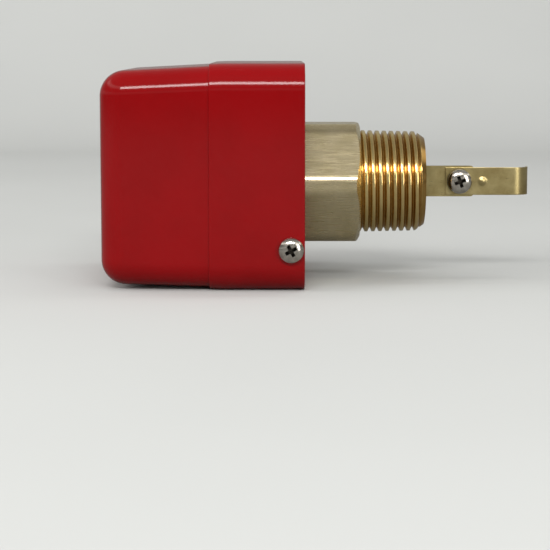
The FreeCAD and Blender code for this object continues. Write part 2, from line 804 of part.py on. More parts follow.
def make_snap_switch():
    """Moulded switch body with ears for the actuator's hinge pin."""
    body = box((switch_end_x, switch_front_x), (switch_floor_y, switch_top_y), (-switch_half, switch_half))
    upright = [e for e in body.Edges if e.BoundBox.ZLength > switch_thickness - 1e-4]
    body = body.makeFillet(1.0, upright)
    ear_start = hinge_barrel_half + stop_clearance
    for side in (-1, 1):
        ends = sorted((side * ear_start, side * (ear_start + hinge_ear_thickness)))
        body = body.fuse(box((hinge_x - hinge_ear_half_length, hinge_x + hinge_ear_half_length),
                             (switch_top_y - 1, hinge_y + hinge_barrel_radius), ends))
    body = body.cut(along_z(hinge_pin_radius + thread_clearance, (-switch_half, switch_half),
                            hinge_x, hinge_y))
    floor = plunger_centre_y() - plunger_length - plunger_hole_beyond
    body = body.cut(along_y(plunger_radius + running_clearance, (floor, switch_top_y + 1),
                            hinge_x + plunger_from_hinge))
    for x in switch_screw_xs():
        body = body.cut(along_z(switch_screw_radius + hole_clearance, (-switch_half, switch_half),
                                x, switch_screw_y()))
    for x in terminal_xs():
        body = body.cut(along_y(terminal_screw_radius + thread_clearance,
                                (switch_floor_y - 1, switch_floor_y + terminal_screw_depth + end_clearance), x))
    return body


def make_switch_plunger():
    """Pin with a round end that the leaf presses into the switch."""
    x = hinge_x + plunger_from_hinge
    centre = plunger_centre_y()
    return along_y(plunger_radius, (centre - plunger_length, centre), x).fuse(
        Part.makeSphere(plunger_radius, V(x, centre, 0)))


def make_actuator_pin():
    """Hinge pin of the actuator."""
    half = hinge_barrel_half + stop_clearance + hinge_ear_thickness
    return along_z(hinge_pin_radius, (-half, half), hinge_x, hinge_y)


def make_actuator_lever():
    """Leaf with a rolled hinge and two ears for the roller's axle."""
    half = leaf_thickness / 2
    end = math.sqrt(hinge_rise ** 2 + roller_from_hinge ** 2 - roller_over_leaf() ** 2)
    body = box((0, end + leaf_ear_half), (-half, half), (-leaf_half_width, leaf_half_width))
    body = body.fuse(along_z(hinge_barrel_radius, (-hinge_barrel_half, hinge_barrel_half), 0))
    for side in (-1, 1):
        ends = sorted((side * leaf_half_width, side * (leaf_half_width - leaf_thickness)))
        body = body.fuse(box((end - leaf_ear_half, end + leaf_ear_half), (-half, roller_over_leaf()), ends))
        body = body.fuse(along_z(leaf_ear_half, ends, end, roller_over_leaf()))
    body = body.removeSplitter()
    body = body.cut(along_z(hinge_pin_radius + running_clearance, (-hinge_barrel_half, hinge_barrel_half), 0))
    body = body.cut(along_z(roller_axle_radius + thread_clearance, (-leaf_half_width, leaf_half_width),
                            end, roller_over_leaf()))
    body.rotate(V(0, 0, 0), V(0, 0, 1), math.degrees(leaf_angle()))
    body.translate(V(hinge_x, hinge_y, 0))
    return body


def make_roller_axle():
    """Rivet that the roller turns on."""
    return along_z(roller_axle_radius, (-leaf_half_width, leaf_half_width), roller_x, roller_y)


def make_actuator_roller():
    """Roller that follows the arm."""
    return ring(roller_radius, roller_axle_radius + running_clearance,
                V(roller_x, roller_y, -roller_half_width), V(roller_x, roller_y, roller_half_width))


def make_switch_terminals():
    """Brass plates under the terminal screws."""
    plates = []
    for x in terminal_xs():
        plate = box((x - terminal_length / 2, x + terminal_length / 2),
                    (switch_floor_y - terminal_thickness, switch_floor_y), (-terminal_width / 2, terminal_width / 2))
        hole = along_y(terminal_screw_radius + hole_clearance,
                       (switch_floor_y - terminal_thickness, switch_floor_y), x)
        plates.append(plate.cut(hole))
    return Part.makeCompound(plates)


def make_terminal_screws():
    """Screws of the terminals."""
    screw = pan_screw(terminal_screw_radius, terminal_screw_depth + terminal_thickness,
                      terminal_head_radius, terminal_head_height)
    return Part.makeCompound([placed(screw, V(x, switch_floor_y - terminal_thickness, 0), V(0, -1, 0))
                              for x in terminal_xs()])


def make_insulating_sheet():
    """Folded sheet over the switch, held by its screws, that shields the terminals from the cover."""
    x = (switch_end_x + 0.5, switch_front_x - 0.5)
    outside = shield_y - sheet_thickness
    top = box(x, (outside, switch_top_y - 1), (switch_half, switch_half + sheet_thickness))
    body = top.fuse(box(x, (outside, shield_y), (0.5 - switch_half, switch_half)))
    body = body.removeSplitter()
    for place in switch_screw_xs():
        body = body.cut(along_z(switch_screw_radius + hole_clearance, (switch_half - 1, switch_half + 1),
                                place, switch_screw_y()))
    return body


def make_switch_screws():
    """M3 screws through the switch and the bracket."""
    length = switch_thickness + sheet_thickness + bracket_gauge + switch_nut_height + screw_stands_out
    screw = pan_screw(switch_screw_radius, length, switch_screw_head_radius, switch_screw_head_height)
    return Part.makeCompound([placed(screw, V(x, switch_screw_y(), switch_half + sheet_thickness), V(0, 0, 1))
                              for x in switch_screw_xs()])


def make_switch_nuts():
    """Nuts of those screws, under the bracket."""
    body = nut(switch_nut_across, switch_nut_height, switch_screw_radius + thread_clearance)
    return Part.makeCompound([placed(body, V(x, switch_screw_y(), plate_low_z), V(0, 0, -1))
                              for x in switch_screw_xs()])


def make_range_spring():
    """Compression spring between the arm's rivet and the seat on the range screw.

    Each half turn leans by half of its rise, so the half turns meet without a kink.
    """
    rise = (spring_length - 2 * spring_wire_radius) / spring_half_turns
    halves = []
    for number in range(spring_half_turns):
        side = 1 if number % 2 == 0 else -1
        start = V(side * spring_coil_radius, 0, number * rise)
        finish = V(-side * spring_coil_radius, 0, (number + 1) * rise)
        centre = (start + finish) * 0.5
        axis = (start - centre).cross(V(0, side, 0))
        disc = Part.Face(Part.Wire(Part.makeCircle(spring_wire_radius, start, V(0, 1, 0))))
        halves.append(disc.revolve(centre, axis, 180))
    coil = halves[0].multiFuse(halves[1:])
    return placed(coil, V(spring_x, rivet_face_y + spring_wire_radius, 0), V(0, 1, 0))


def make_spring_seat():
    """Brass block on the range screw; its lower edge runs along the bracket and keeps it from turning."""
    body = box((spring_x - seat_half_width, spring_x + seat_half_width),
               (seat_face_y, seat_face_y + seat_thickness), (plate_top_z + stop_clearance, seat_top))
    body = body.fuse(along_y(seat_hub_radius, (seat_face_y - seat_hub_length, seat_face_y), spring_x))
    return body.cut(along_y(range_screw_radius + thread_clearance,
                            (seat_face_y - seat_hub_length, seat_face_y + seat_thickness), spring_x))


def make_range_screw():
    """Slotted screw that moves the spring seat; it turns in the bracket's ear."""
    seat = leg_outer_y + end_clearance
    body = along_y(range_screw_radius, (seat_face_y - range_screw_ahead_of_seat, seat), spring_x)
    body = body.fuse(along_y(range_head_radius, (seat, seat + range_head_height), spring_x))
    top = seat + range_head_height
    slot = box((spring_x - range_head_radius, spring_x + range_head_radius), (top - range_slot_depth, top),
               (-range_slot_width / 2, range_slot_width / 2))
    return body.cut(slot)


def make_range_clip():
    """Ring that keeps the range screw in the ear."""
    inner = ear_inner_y - end_clearance
    return ring(range_clip_radius, range_screw_radius + thread_clearance,
                V(spring_x, inner - range_clip_thickness, 0), V(spring_x, inner, 0))


def make_earth_screw():
    """M4 pan head screw in the earth boss."""
    screw = pan_screw(earth_screw_radius, earth_screw_length, earth_head_radius, earth_head_height)
    return placed(screw, earth_centre() - V(earth_boss_height, 0, 0), V(-1, 0, 0))


pieces = {
    "cover": make_cover(),
    "cover_screws": make_cover_screws(),
    "label_plate": make_label_plate(),
    "base_plate": make_base_plate(),
    "cover_gasket": make_cover_gasket(),
    "cable_grommet": make_cable_grommet(),
    "fitting_body": make_fitting_body(),
    "fitting_gasket": make_fitting_gasket(),
    "neck_washer": make_neck_washer(),
    "neck_nut": make_neck_nut(),
    "pivot_carrier": make_pivot_carrier(),
    "pivot_pin": make_pivot_pin(),
    "lever": make_lever(),
    "bellows": make_bellows(),
    "bellows_cap": make_bellows_cap(),
    "paddle_strip": make_paddle_strip(),
    "paddle_lock_washer": make_paddle_lock_washer(),
    "paddle_screw": make_paddle_screw(),
    "paddle_nut": make_paddle_nut(),
    "switch_arm": make_switch_arm(),
    "arm_nut": make_arm_nut(),
    "spring_rivet": make_spring_rivet(),
    "mechanism_bracket": make_mechanism_bracket(),
    "bracket_screws": make_bracket_screws(),
    "bracket_nuts": make_bracket_nuts(),
    "snap_switch": make_snap_switch(),
    "switch_plunger": make_switch_plunger(),
    "actuator_pin": make_actuator_pin(),
    "actuator_lever": make_actuator_lever(),
    "roller_axle": make_roller_axle(),
    "actuator_roller": make_actuator_roller(),
    "switch_terminals": make_switch_terminals(),
    "terminal_screws": make_terminal_screws(),
    "insulating_sheet": make_insulating_sheet(),
    "switch_screws": make_switch_screws(),
    "switch_nuts": make_switch_nuts(),
    "range_spring": make_range_spring(),
    "spring_seat": make_spring_seat(),
    "range_screw": make_range_screw(),
    "range_clip": make_range_clip(),
    "earth_screw": make_earth_screw(),
}

os.makedirs("parts", exist_ok=True)
for name, shape in pieces.items():
    shape.exportStep("parts/" + name + ".step")
    box_now = shape.BoundBox
    print(f"{name:20s} {len(shape.Solids)} solid(s) valid {shape.isValid()} volume {shape.Volume:9.1f}"
          f"  x {box_now.XMin:7.2f} {box_now.XMax:7.2f}  y {box_now.YMin:7.2f} {box_now.YMax:7.2f}"
          f"  z {box_now.ZMin:7.2f} {box_now.ZMax:7.2f}")
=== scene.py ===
"""Looks of a paddle flow switch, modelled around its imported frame.

Lengths are millimetres in this file and metres in the scene. +X runs out along the brass fitting, +Z is
up while the switch lies on its side, and the camera looks along +Y. Each class builds one sub-assembly.
"""

from __future__ import annotations

import logging
import math
from dataclasses import dataclass, field
from enum import Enum
from functools import partial
from typing import Any, Callable, Iterable, Sequence

import bmesh
import bpy
from mathutils import Matrix, Vector

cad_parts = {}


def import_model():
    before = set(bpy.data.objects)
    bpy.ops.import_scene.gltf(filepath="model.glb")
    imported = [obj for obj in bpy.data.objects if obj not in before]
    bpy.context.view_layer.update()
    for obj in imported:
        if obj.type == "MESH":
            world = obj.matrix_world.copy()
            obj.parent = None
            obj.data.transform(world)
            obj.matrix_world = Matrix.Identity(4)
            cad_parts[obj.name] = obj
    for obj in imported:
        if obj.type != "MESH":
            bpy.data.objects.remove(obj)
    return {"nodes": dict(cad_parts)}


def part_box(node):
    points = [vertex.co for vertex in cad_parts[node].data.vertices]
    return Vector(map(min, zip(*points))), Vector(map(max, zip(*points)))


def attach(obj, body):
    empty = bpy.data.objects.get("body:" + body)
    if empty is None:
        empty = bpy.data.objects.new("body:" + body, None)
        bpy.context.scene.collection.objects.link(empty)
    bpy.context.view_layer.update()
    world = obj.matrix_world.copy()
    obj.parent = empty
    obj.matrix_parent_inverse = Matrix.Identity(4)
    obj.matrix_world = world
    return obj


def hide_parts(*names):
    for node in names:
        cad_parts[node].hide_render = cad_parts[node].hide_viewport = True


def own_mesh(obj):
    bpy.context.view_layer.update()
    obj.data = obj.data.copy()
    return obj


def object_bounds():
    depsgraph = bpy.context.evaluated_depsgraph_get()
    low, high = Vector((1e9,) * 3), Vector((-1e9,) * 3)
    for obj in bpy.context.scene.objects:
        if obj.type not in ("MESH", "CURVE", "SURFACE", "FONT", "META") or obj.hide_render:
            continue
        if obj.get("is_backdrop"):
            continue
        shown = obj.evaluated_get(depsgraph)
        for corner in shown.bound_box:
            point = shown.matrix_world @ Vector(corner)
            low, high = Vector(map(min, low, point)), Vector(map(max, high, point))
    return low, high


log = logging.getLogger("flow_switch")

MM = 0.001

# Tolerances in millimetres: vertices that are one, a cut that meets a vertex, and what lies at a place
MERGE = 1e-4
ON_PLANE = 1e-5
NEAR = 1e-3
CLOSE = 0.01

# How far a cutter stands out of what it cuts, in millimetres
EXCESS = 1.0

# Numbers of the colour sockets on a Mix node, which has other sockets of the same names
MIX_FIRST, MIX_SECOND, MIX_RESULT = 6, 7, 2

# Parts of a noise's range that the mottle and the gloss use
MOTTLE_SPAN = (0.36, 0.62)
GLOSS_SPAN = (0.3, 0.7)


def linear(hex_colour: str) -> tuple[float, float, float, float]:
    """Turn an sRGB hex colour into the linear colour that a shader takes.

    Args:
        hex_colour: six hex digits, such as "8C1014".

    Returns:
        Linear red, green, blue and an alpha of 1.
    """
    channels = [int(hex_colour[start:start + 2], 16) / 255 for start in (0, 2, 4)]
    return tuple(c / 12.92 if c <= 0.04045 else ((c + 0.055) / 1.055) ** 2.4 for c in channels) + (1.0,)


def per_mm(size: float) -> float:
    """Texture scale that makes a pattern's features about this many millimetres wide."""
    return 1 / (size * MM)


def add_node(tree: bpy.types.NodeTree, kind: str, values: dict[Any, Any] | None = None,
             links: dict[Any, bpy.types.NodeSocket] | None = None, **settings: Any) -> bpy.types.Node:
    """Add a node with its settings, values and incoming links.

    Args:
        tree: the node tree that gets the node.
        kind: the node's type, such as "ShaderNodeTexNoise".
        values: constants by input name or number.
        links: output sockets by the input name or number that they feed.
        settings: properties of the node itself.

    Returns:
        The new node.
    """
    node = tree.nodes.new(kind)
    for name, value in settings.items():
        setattr(node, name, value)
    for name, value in (values or {}).items():
        node.inputs[name].default_value = value
    for name, socket in (links or {}).items():
        tree.links.new(socket, node.inputs[name])
    return node


def blank_tree(owner: bpy.types.Material | bpy.types.World) -> bpy.types.NodeTree:
    """Give a material or world an empty node tree.

    Args:
        owner: the material or world.

    Returns:
        The node tree.
    """
    owner.use_nodes = True
    owner.node_tree.nodes.clear()
    return owner.node_tree


def noise(tree: bpy.types.NodeTree, place: bpy.types.NodeSocket, size: float, detail: float,
          roughness: float = 0.5) -> bpy.types.NodeSocket:
    """Add a noise texture.

    Args:
        tree: the node tree.
        place: the coordinates that it follows.
        size: width of its features in millimetres.
        detail: how many finer layers it has.
        roughness: how strong the finer layers are.

    Returns:
        The noise's socket.
    """
    values = {"Scale": per_mm(size), "Detail": detail, "Roughness": roughness}
    return add_node(tree, "ShaderNodeTexNoise", values, {"Vector": place}).outputs["Fac"]


def blend(tree: bpy.types.NodeTree, share: bpy.types.NodeSocket, colours: tuple[str, str],
          span: tuple[float, float] = (0.0, 1.0)) -> bpy.types.NodeSocket:
    """Add a ramp between two colours.

    Args:
        tree: the node tree.
        share: the value that picks the colour.
        colours: the hex colours at the span's two ends.
        span: the values between which the colour changes.

    Returns:
        The colour's socket.
    """
    ramp = add_node(tree, "ShaderNodeValToRGB", links={"Fac": share})
    for step, position, colour in zip(ramp.color_ramp.elements, span, colours):
        step.position = position
        step.color = linear(colour)
    return ramp.outputs["Color"]


def math_of(tree: bpy.types.NodeTree, operation: str, first: bpy.types.NodeSocket,
            second: bpy.types.NodeSocket) -> bpy.types.NodeSocket:
    """Result of a sum on two sockets."""
    sum_node = add_node(tree, "ShaderNodeMath", links={0: first, 1: second}, operation=operation)
    return sum_node.outputs["Value"]


class Working(Enum):
    """How a surface was worked, as the stretch of its grain along X, Y and Z."""

    MOULDED = (1.0, 1.0, 1.0)
    DRAWN = (0.03, 1.0, 1.0)
    TURNED = (1.0, 0.06, 0.06)
    ROLLED = (0.05, 1.0, 1.0)


@dataclass(frozen=True)
class Finish:
    """A surface: what it is made of, how it was worked and how it takes the light."""

    name: str
    colour: str
    shade: str
    roughness: float
    polish: float = 0.05
    metallic: float = 0.0
    ior: float = 1.5
    working: Working = Working.MOULDED
    mottle: float = 9.0
    grain: float = 0.5
    grain_depth: float = 0.004
    wave: float = 16.0
    wave_depth: float = 0.0
    specular: float = 0.5

    def colours(self, tree: bpy.types.NodeTree, place: bpy.types.NodeSocket) -> bpy.types.NodeSocket:
        """Wander between the two colours, as uneven pigment, tarnish or oil does.

        Args:
            tree: the material's nodes.
            place: object coordinates.

        Returns:
            The colour's socket.
        """
        cloud = noise(tree, place, self.mottle, detail=5, roughness=0.6)
        return blend(tree, cloud, (self.shade, self.colour), MOTTLE_SPAN)

    def relief(self, tree: bpy.types.NodeTree, place: bpy.types.NodeSocket,
               grain: bpy.types.NodeSocket) -> bpy.types.NodeSocket:
        """Bend the normal by the grain and, on moulded faces, by the slow wave of their shrinkage.

        Args:
            tree: the material's nodes.
            place: object coordinates.
            grain: the height of the fine grain.

        Returns:
            The normal's socket.
        """
        fine = add_node(tree, "ShaderNodeBump", {"Distance": self.grain_depth * MM}, {"Height": grain})
        if not self.wave_depth:
            return fine.outputs["Normal"]
        swell = noise(tree, place, self.wave, detail=1)
        slow = add_node(tree, "ShaderNodeBump", {"Distance": self.wave_depth * MM},
                        {"Height": swell, "Normal": fine.outputs["Normal"]})
        return slow.outputs["Normal"]

    def material(self) -> bpy.types.Material:
        """Make the finish's material, or find it where another piece has it already.

        Returns:
            The material.
        """
        known = bpy.data.materials.get(self.name)
        if known:
            return known
        made = bpy.data.materials.new(self.name)
        tree = blank_tree(made)
        place = add_node(tree, "ShaderNodeTexCoord").outputs["Object"]
        stretched = add_node(tree, "ShaderNodeMapping", {"Scale": self.working.value}, {"Vector": place})
        grain = noise(tree, stretched.outputs["Vector"], self.grain, detail=3)
        gloss = add_node(tree, "ShaderNodeMapRange",
                         {"From Min": GLOSS_SPAN[0], "From Max": GLOSS_SPAN[1],
                          "To Min": self.roughness - self.polish,
                          "To Max": self.roughness + self.polish}, {"Value": grain})
        shader = add_node(tree, "ShaderNodeBsdfPrincipled",
                          {"Metallic": self.metallic, "IOR": self.ior,
                           "Specular IOR Level": self.specular},
                          {"Base Color": self.colours(tree, place), "Roughness": gloss.outputs["Result"],
                           "Normal": self.relief(tree, place, grain)})
        add_node(tree, "ShaderNodeOutputMaterial", links={"Surface": shader.outputs["BSDF"]})
        return made


@dataclass(frozen=True)
class ThreadFinish(Finish):
    """Brass cut by a die: burnished crests, with the colour darkened down into the roots as painted
    shade.
    """

    root: float = 15.0
    crest: float = 16.5
    unevenness: float = 0.4

    def colours(self, tree: bpy.types.NodeTree, place: bpy.types.NodeSocket) -> bpy.types.NodeSocket:
        """Darken the colour from the crests down to the roots, as painted shade in the grooves.

        Args:
            tree: the material's nodes.
            place: object coordinates.

        Returns:
            The colour's socket.
        """
        across = add_node(tree, "ShaderNodeVectorMath", {1: (0, 1, 1)}, {0: place}, operation="MULTIPLY")
        radius = add_node(tree, "ShaderNodeVectorMath", links={0: across.outputs["Vector"]},
                          operation="LENGTH")
        wander = add_node(tree, "ShaderNodeMapRange",
                          {"To Min": -self.unevenness * MM, "To Max": self.unevenness * MM},
                          {"Value": noise(tree, place, self.mottle, detail=4)})
        uneven = math_of(tree, "ADD", radius.outputs["Value"], wander.outputs["Result"])
        height = add_node(tree, "ShaderNodeMapRange",
                          {"From Min": self.root * MM, "From Max": self.crest * MM}, {"Value": uneven})
        # painted shade: the shade colour at the roots, the brass colour at the crests
        return blend(tree, height.outputs["Result"], (self.shade, self.colour))


# Acrylonitrile butadiene styrene, injection moulded and glossy: a deep red with a wet edge highlight.
RED_ABS = Finish("red_moulded_abs", "860408", "800407", 0.11, 0.02, ior=1.53, mottle=22, grain=0.7,
                 grain_depth=0.0006, wave=24, wave_depth=0.005, specular=0.28)
# Free-machining brass drawn as hexagon bar: pale, with faint lines along the bar.
HEXAGON_BRASS = Finish("drawn_hexagon_brass", "EEDDB4", "E2D1A4", 0.24, 0.06, metallic=1,
                       working=Working.DRAWN, mottle=7, grain=0.22, grain_depth=0.0022)
# The same brass under a threading die: golden crests, with painted shade browning the roots.
THREAD_BRASS = ThreadFinish("die_cut_thread_brass", "EBD08F", "B68F50", 0.21, 0.05, metallic=1,
                            working=Working.TURNED, mottle=3, grain=0.12, grain_depth=0.002)
# The bore and the end faces, turned and left a little dull.
TURNED_BRASS = Finish("turned_brass", "CDA968", "A98344", 0.33, 0.07, metallic=1, working=Working.TURNED,
                      mottle=5, grain=0.16, grain_depth=0.003)
# Half-hard brass strip, rolled: a yellow satin with its grain along the strip.
STRIP_BRASS = Finish("rolled_brass_strip", "C6B581", "AD9A67", 0.34, 0.07, metallic=1,
                     working=Working.ROLLED, mottle=6, grain=0.18, grain_depth=0.0015)
# Nickel over steel: bright and slightly warm, as barrel-plated screws are.
NICKEL_STEEL = Finish("barrel_nickel_on_steel", "D9D3C8", "B8B1A6", 0.17, 0.05, metallic=1, mottle=1.5,
                      grain=0.3, grain_depth=0.002)
# The bottom of a cross recess: nickel darkened as painted shade.
SHADED_RECESS = Finish("recess_nickel_painted_shade", "4C4740", "2A2723", 0.45, 0.08, metallic=1, mottle=0.6, grain=0.2,
                grain_depth=0.004)
# Zinc over steel, passivated: bluish grey and less bright than nickel.
ZINC_STEEL = Finish("passivated_zinc_on_steel", "C2C8CC", "A2A9AE", 0.3, 0.07, metallic=1, mottle=2,
                    grain=0.3, grain_depth=0.002)
# Spring steel, hardened and oil-blackened.
OILED_SPRING = Finish("oil_black_spring_steel", "4A4540", "2C2926", 0.32, 0.08, metallic=1, mottle=1.5,
                      grain=0.25, grain_depth=0.003)
# Zinc alloy, die cast and shot blasted: light grey with a fine even grain.
CAST_ZINC = Finish("blasted_cast_zinc", "CBCCCB", "BFC0BF", 0.48, 0.06, metallic=1, mottle=6, grain=0.35,
                   grain_depth=0.014)
# Nitrile rubber, moulded: near black and dull.
NITRILE = Finish("moulded_nitrile_rubber", "242323", "171616", 0.62, 0.08, ior=1.52, mottle=3, grain=0.4,
                 grain_depth=0.01)
# Vulcanised fibre, cut from sheet: a dull brick red with fibres in it.
FIBRE = Finish("vulcanised_red_fibre", "8E3A2C", "6E2A20", 0.6, 0.08, ior=1.5, mottle=1.2, grain=0.25,
               grain_depth=0.01)
# Phosphor bronze, formed into thin folds.
BRONZE = Finish("formed_phosphor_bronze", "C58A5C", "9C643C", 0.26, 0.07, metallic=1,
                working=Working.TURNED, mottle=3, grain=0.2, grain_depth=0.002)
# Phenolic resin, moulded: dark brown with mottled filler.
PHENOLIC = Finish("moulded_phenolic", "3B2018", "24130E", 0.36, 0.06, ior=1.6, mottle=2.5, grain=0.5,
                  grain_depth=0.004)
# Nylon, moulded: milky and half dull.
NYLON = Finish("moulded_nylon", "DDD8C8", "CFC9B6", 0.42, 0.05, ior=1.53, mottle=4, grain=0.5,
               grain_depth=0.003)
# Acetal, moulded: the clear, slightly waxy red of the switch's button.
RED_ACETAL = Finish("moulded_red_acetal", "A62018", "8E1811", 0.35, 0.05, ior=1.48, mottle=2, grain=0.4,
                    grain_depth=0.003)
# Pressboard: grey-brown card with short fibres.
PRESSBOARD = Finish("insulating_pressboard", "8C8068", "71664F", 0.72, 0.06, mottle=1.5, grain=0.3,
                    grain_depth=0.015)
# Polyester label film with a satin print: white field, red band, dark rules.
LABEL_WHITE = Finish("white_label_film", "DADCE2", "D2D4DB", 0.36, 0.05, ior=1.55, mottle=14, grain=0.5,
                     grain_depth=0.001, wave=9, wave_depth=0.006)
LABEL_RED = Finish("red_label_print", "A60D14", "9C0A10", 0.32, 0.05, ior=1.55, mottle=12, grain=0.5,
                   grain_depth=0.001, wave=9, wave_depth=0.006)
LABEL_RULE = Finish("dark_label_print", "54323A", "45272F", 0.36, 0.05, ior=1.55, mottle=5, grain=0.5,
                    grain_depth=0.001)


def add_object(name: str, data: bpy.types.ID) -> bpy.types.Object:
    """Make an object and link it to the scene.

    Args:
        name: the object's name.
        data: its mesh, light or camera.

    Returns:
        The object.
    """
    made = bpy.data.objects.new(name, data)
    bpy.context.scene.collection.objects.link(made)
    return made


def laid(place: Sequence[float], side: float = 1.0) -> Matrix:
    """Transform that lays an upright piece towards the camera, or away from it where side is -1."""
    return Matrix.Translation(place) @ Matrix.Rotation(side * math.pi / 2, 4, "X")


def on_circle(x: float, radius: float, co: Vector) -> Vector:
    """Point on a circle about the X axis, in the direction of another point."""
    scale = radius / math.hypot(co.y, co.z)
    return Vector((x, co.y * scale, co.z * scale))


def rod(radius: float, length: float, place: Matrix, sides: int = 40) -> bmesh.types.BMesh:
    """Model a straight bar with its middle at a place.

    Args:
        radius: its radius to the corners.
        length: its length in millimetres.
        place: the transform to its place.
        sides: faces round it.

    Returns:
        The bar's mesh.
    """
    bm = bmesh.new()
    bmesh.ops.create_cone(bm, cap_ends=True, segments=sides, radius1=radius, radius2=radius,
                          depth=length, matrix=place)
    return bm


def cut_plane(bm: bmesh.types.BMesh, point: Sequence[float], normal: Sequence[float],
              clear: bool = False) -> None:
    """Cut a mesh along a plane.

    Args:
        bm: the mesh.
        point: a point of the plane.
        normal: the plane's normal.
        clear: whether what lies beyond the plane goes.
    """
    bmesh.ops.bisect_plane(bm, geom=list(bm.verts) + list(bm.edges) + list(bm.faces), dist=ON_PLANE,
                           plane_co=point, plane_no=normal, clear_outer=clear)


def edges_along_x(bm: bmesh.types.BMesh) -> list[bmesh.types.BMEdge]:
    """Edges of a block that run along X."""
    return [edge for edge in bm.edges if abs(edge.verts[0].co.x - edge.verts[1].co.x) > CLOSE]


def box_mesh(bm: bmesh.types.BMesh, low: Sequence[float],
             high: Sequence[float]) -> list[bmesh.types.BMVert]:
    """Add a block between two corners.

    Args:
        bm: the mesh.
        low: lowest corner in millimetres.
        high: highest corner in millimetres.

    Returns:
        The block's vertices.
    """
    middle = [(a + b) / 2 for a, b in zip(low, high)]
    size = Matrix.Diagonal([b - a for a, b in zip(low, high)] + [1])
    return bmesh.ops.create_cube(bm, size=1, matrix=Matrix.Translation(middle) @ size)["verts"]


def wire(bm: bmesh.types.BMesh, points: Iterable[Vector]) -> list[bmesh.types.BMEdge]:
    """Draw a polyline by extruding one vertex from point to point.

    Args:
        bm: the mesh.
        points: the polyline's points in millimetres.

    Returns:
        The polyline's edges.
    """
    points = list(points)
    tip = bmesh.ops.create_vert(bm, co=points[0])["vert"][0]
    edges = []
    for point in points[1:]:
        grown = bmesh.ops.extrude_vert_indiv(bm, verts=[tip])
        tip = grown["verts"][0]
        tip.co = point
        edges += grown["edges"]
    return edges


def verts_of(edges: Iterable[bmesh.types.BMEdge]) -> list[bmesh.types.BMVert]:
    """Vertices of some edges, each once and always in the same order."""
    return list(dict.fromkeys(vert for edge in edges for vert in edge.verts))


def lathe(bm: bmesh.types.BMesh, outline: Iterable[tuple[float, float]], steps: int = 64) -> None:
    """Turn an outline about the Z axis; an outline that starts and ends on the axis gives a closed body.

    Args:
        bm: the mesh.
        outline: radius and height of each point.
        steps: faces round the axis.
    """
    edges = wire(bm, [Vector((radius, 0, height)) for radius, height in outline])
    bmesh.ops.spin(bm, geom=verts_of(edges) + edges, cent=(0, 0, 0), axis=(0, 0, 1), angle=math.tau,
                   steps=steps, use_merge=True)
    bmesh.ops.remove_doubles(bm, verts=bm.verts, dist=MERGE)


def grow_ring(bm: bmesh.types.BMesh, ring: Sequence[bmesh.types.BMEdge],
              place: Callable[[Vector], Vector]) -> list[bmesh.types.BMEdge]:
    """Extrude a closed ring of edges and put each new vertex in its place.

    Args:
        bm: the mesh.
        ring: the open edges to extrude.
        place: gives a new vertex's place from that of the vertex that it came from.

    Returns:
        The new ring's edges.
    """
    grown = bmesh.ops.extrude_edge_only(bm, edges=list(ring))["geom"]
    for part in grown:
        if isinstance(part, bmesh.types.BMVert):
            part.co = place(part.co)
    return [part for part in grown if isinstance(part, bmesh.types.BMEdge) and part.is_boundary]


def last_ring(spun: dict[str, Any]) -> list[bmesh.types.BMEdge]:
    """Edges at the end of a spin."""
    return [part for part in spun["geom_last"] if isinstance(part, bmesh.types.BMEdge)]


def sharp_edges(bm: bmesh.types.BMesh, degrees: float,
                where: Callable[[Vector], bool] = lambda middle: True) -> list[bmesh.types.BMEdge]:
    """Find edges whose faces turn by more than an angle.

    Args:
        bm: the mesh.
        degrees: the smallest turn.
        where: says whether an edge counts, from its middle.

    Returns:
        The edges.
    """
    limit = math.radians(degrees)
    return [edge for edge in bm.edges if edge.is_manifold and edge.calc_face_angle(0) > limit
            and where((edge.verts[0].co + edge.verts[1].co) / 2)]


def soften(bm: bmesh.types.BMesh, edges: Sequence[bmesh.types.BMEdge], width: float,
           segments: int = 3) -> None:
    """Round edges over.

    Args:
        bm: the mesh.
        edges: the edges.
        width: how far the rounding reaches from each edge.
        segments: faces across the rounding.
    """
    bmesh.ops.bevel(bm, geom=list(edges), offset=width, segments=segments, profile=0.5, affect="EDGES",
                    material=-1, clamp_overlap=True)


def mesh_object(name: str, bm: bmesh.types.BMesh,
                materials: Iterable[bpy.types.Material]) -> bpy.types.Object:
    """Turn a mesh in millimetres into a smooth object in metres.

    Args:
        name: the object's name.
        bm: the mesh, which is freed.
        materials: the materials that its faces' numbers refer to.

    Returns:
        The object.
    """
    for face in bm.faces:
        face.smooth = True
    bmesh.ops.scale(bm, vec=(MM, MM, MM), verts=bm.verts)
    mesh = bpy.data.meshes.new(name)
    bm.to_mesh(mesh)
    bm.free()
    for material in materials:
        mesh.materials.append(material)
    return add_object(name, mesh)


def finish_mesh(name: str, bm: bmesh.types.BMesh, finishes: Sequence[Finish], crease: float = 32,
                smooth: Callable[[Vector], bool] = lambda middle: False) -> bpy.types.Object:
    """Close a mesh in millimetres, mark its sharp edges and make it a dressed object.

    Args:
        name: the piece's name.
        bm: the mesh, which is freed.
        finishes: the finishes that its faces' material numbers refer to.
        crease: edges that turn by more degrees than this stay sharp.
        smooth: says whether an edge is smooth at any angle, from its middle.

    Returns:
        The object.
    """
    bmesh.ops.remove_doubles(bm, verts=bm.verts, dist=MERGE)
    bmesh.ops.recalc_face_normals(bm, faces=bm.faces)
    for edge in sharp_edges(bm, crease, lambda middle: not smooth(middle)):
        edge.smooth = False
    piece = mesh_object(name, bm, [finish.material() for finish in finishes])
    weighted = piece.modifiers.new("Flat faces keep their normals", "WEIGHTED_NORMAL")
    weighted.keep_sharp = True
    return piece


class Cut(Enum):
    """What a tool body does to a piece."""

    REMOVE = "DIFFERENCE"
    SHARE = "INTERSECT"


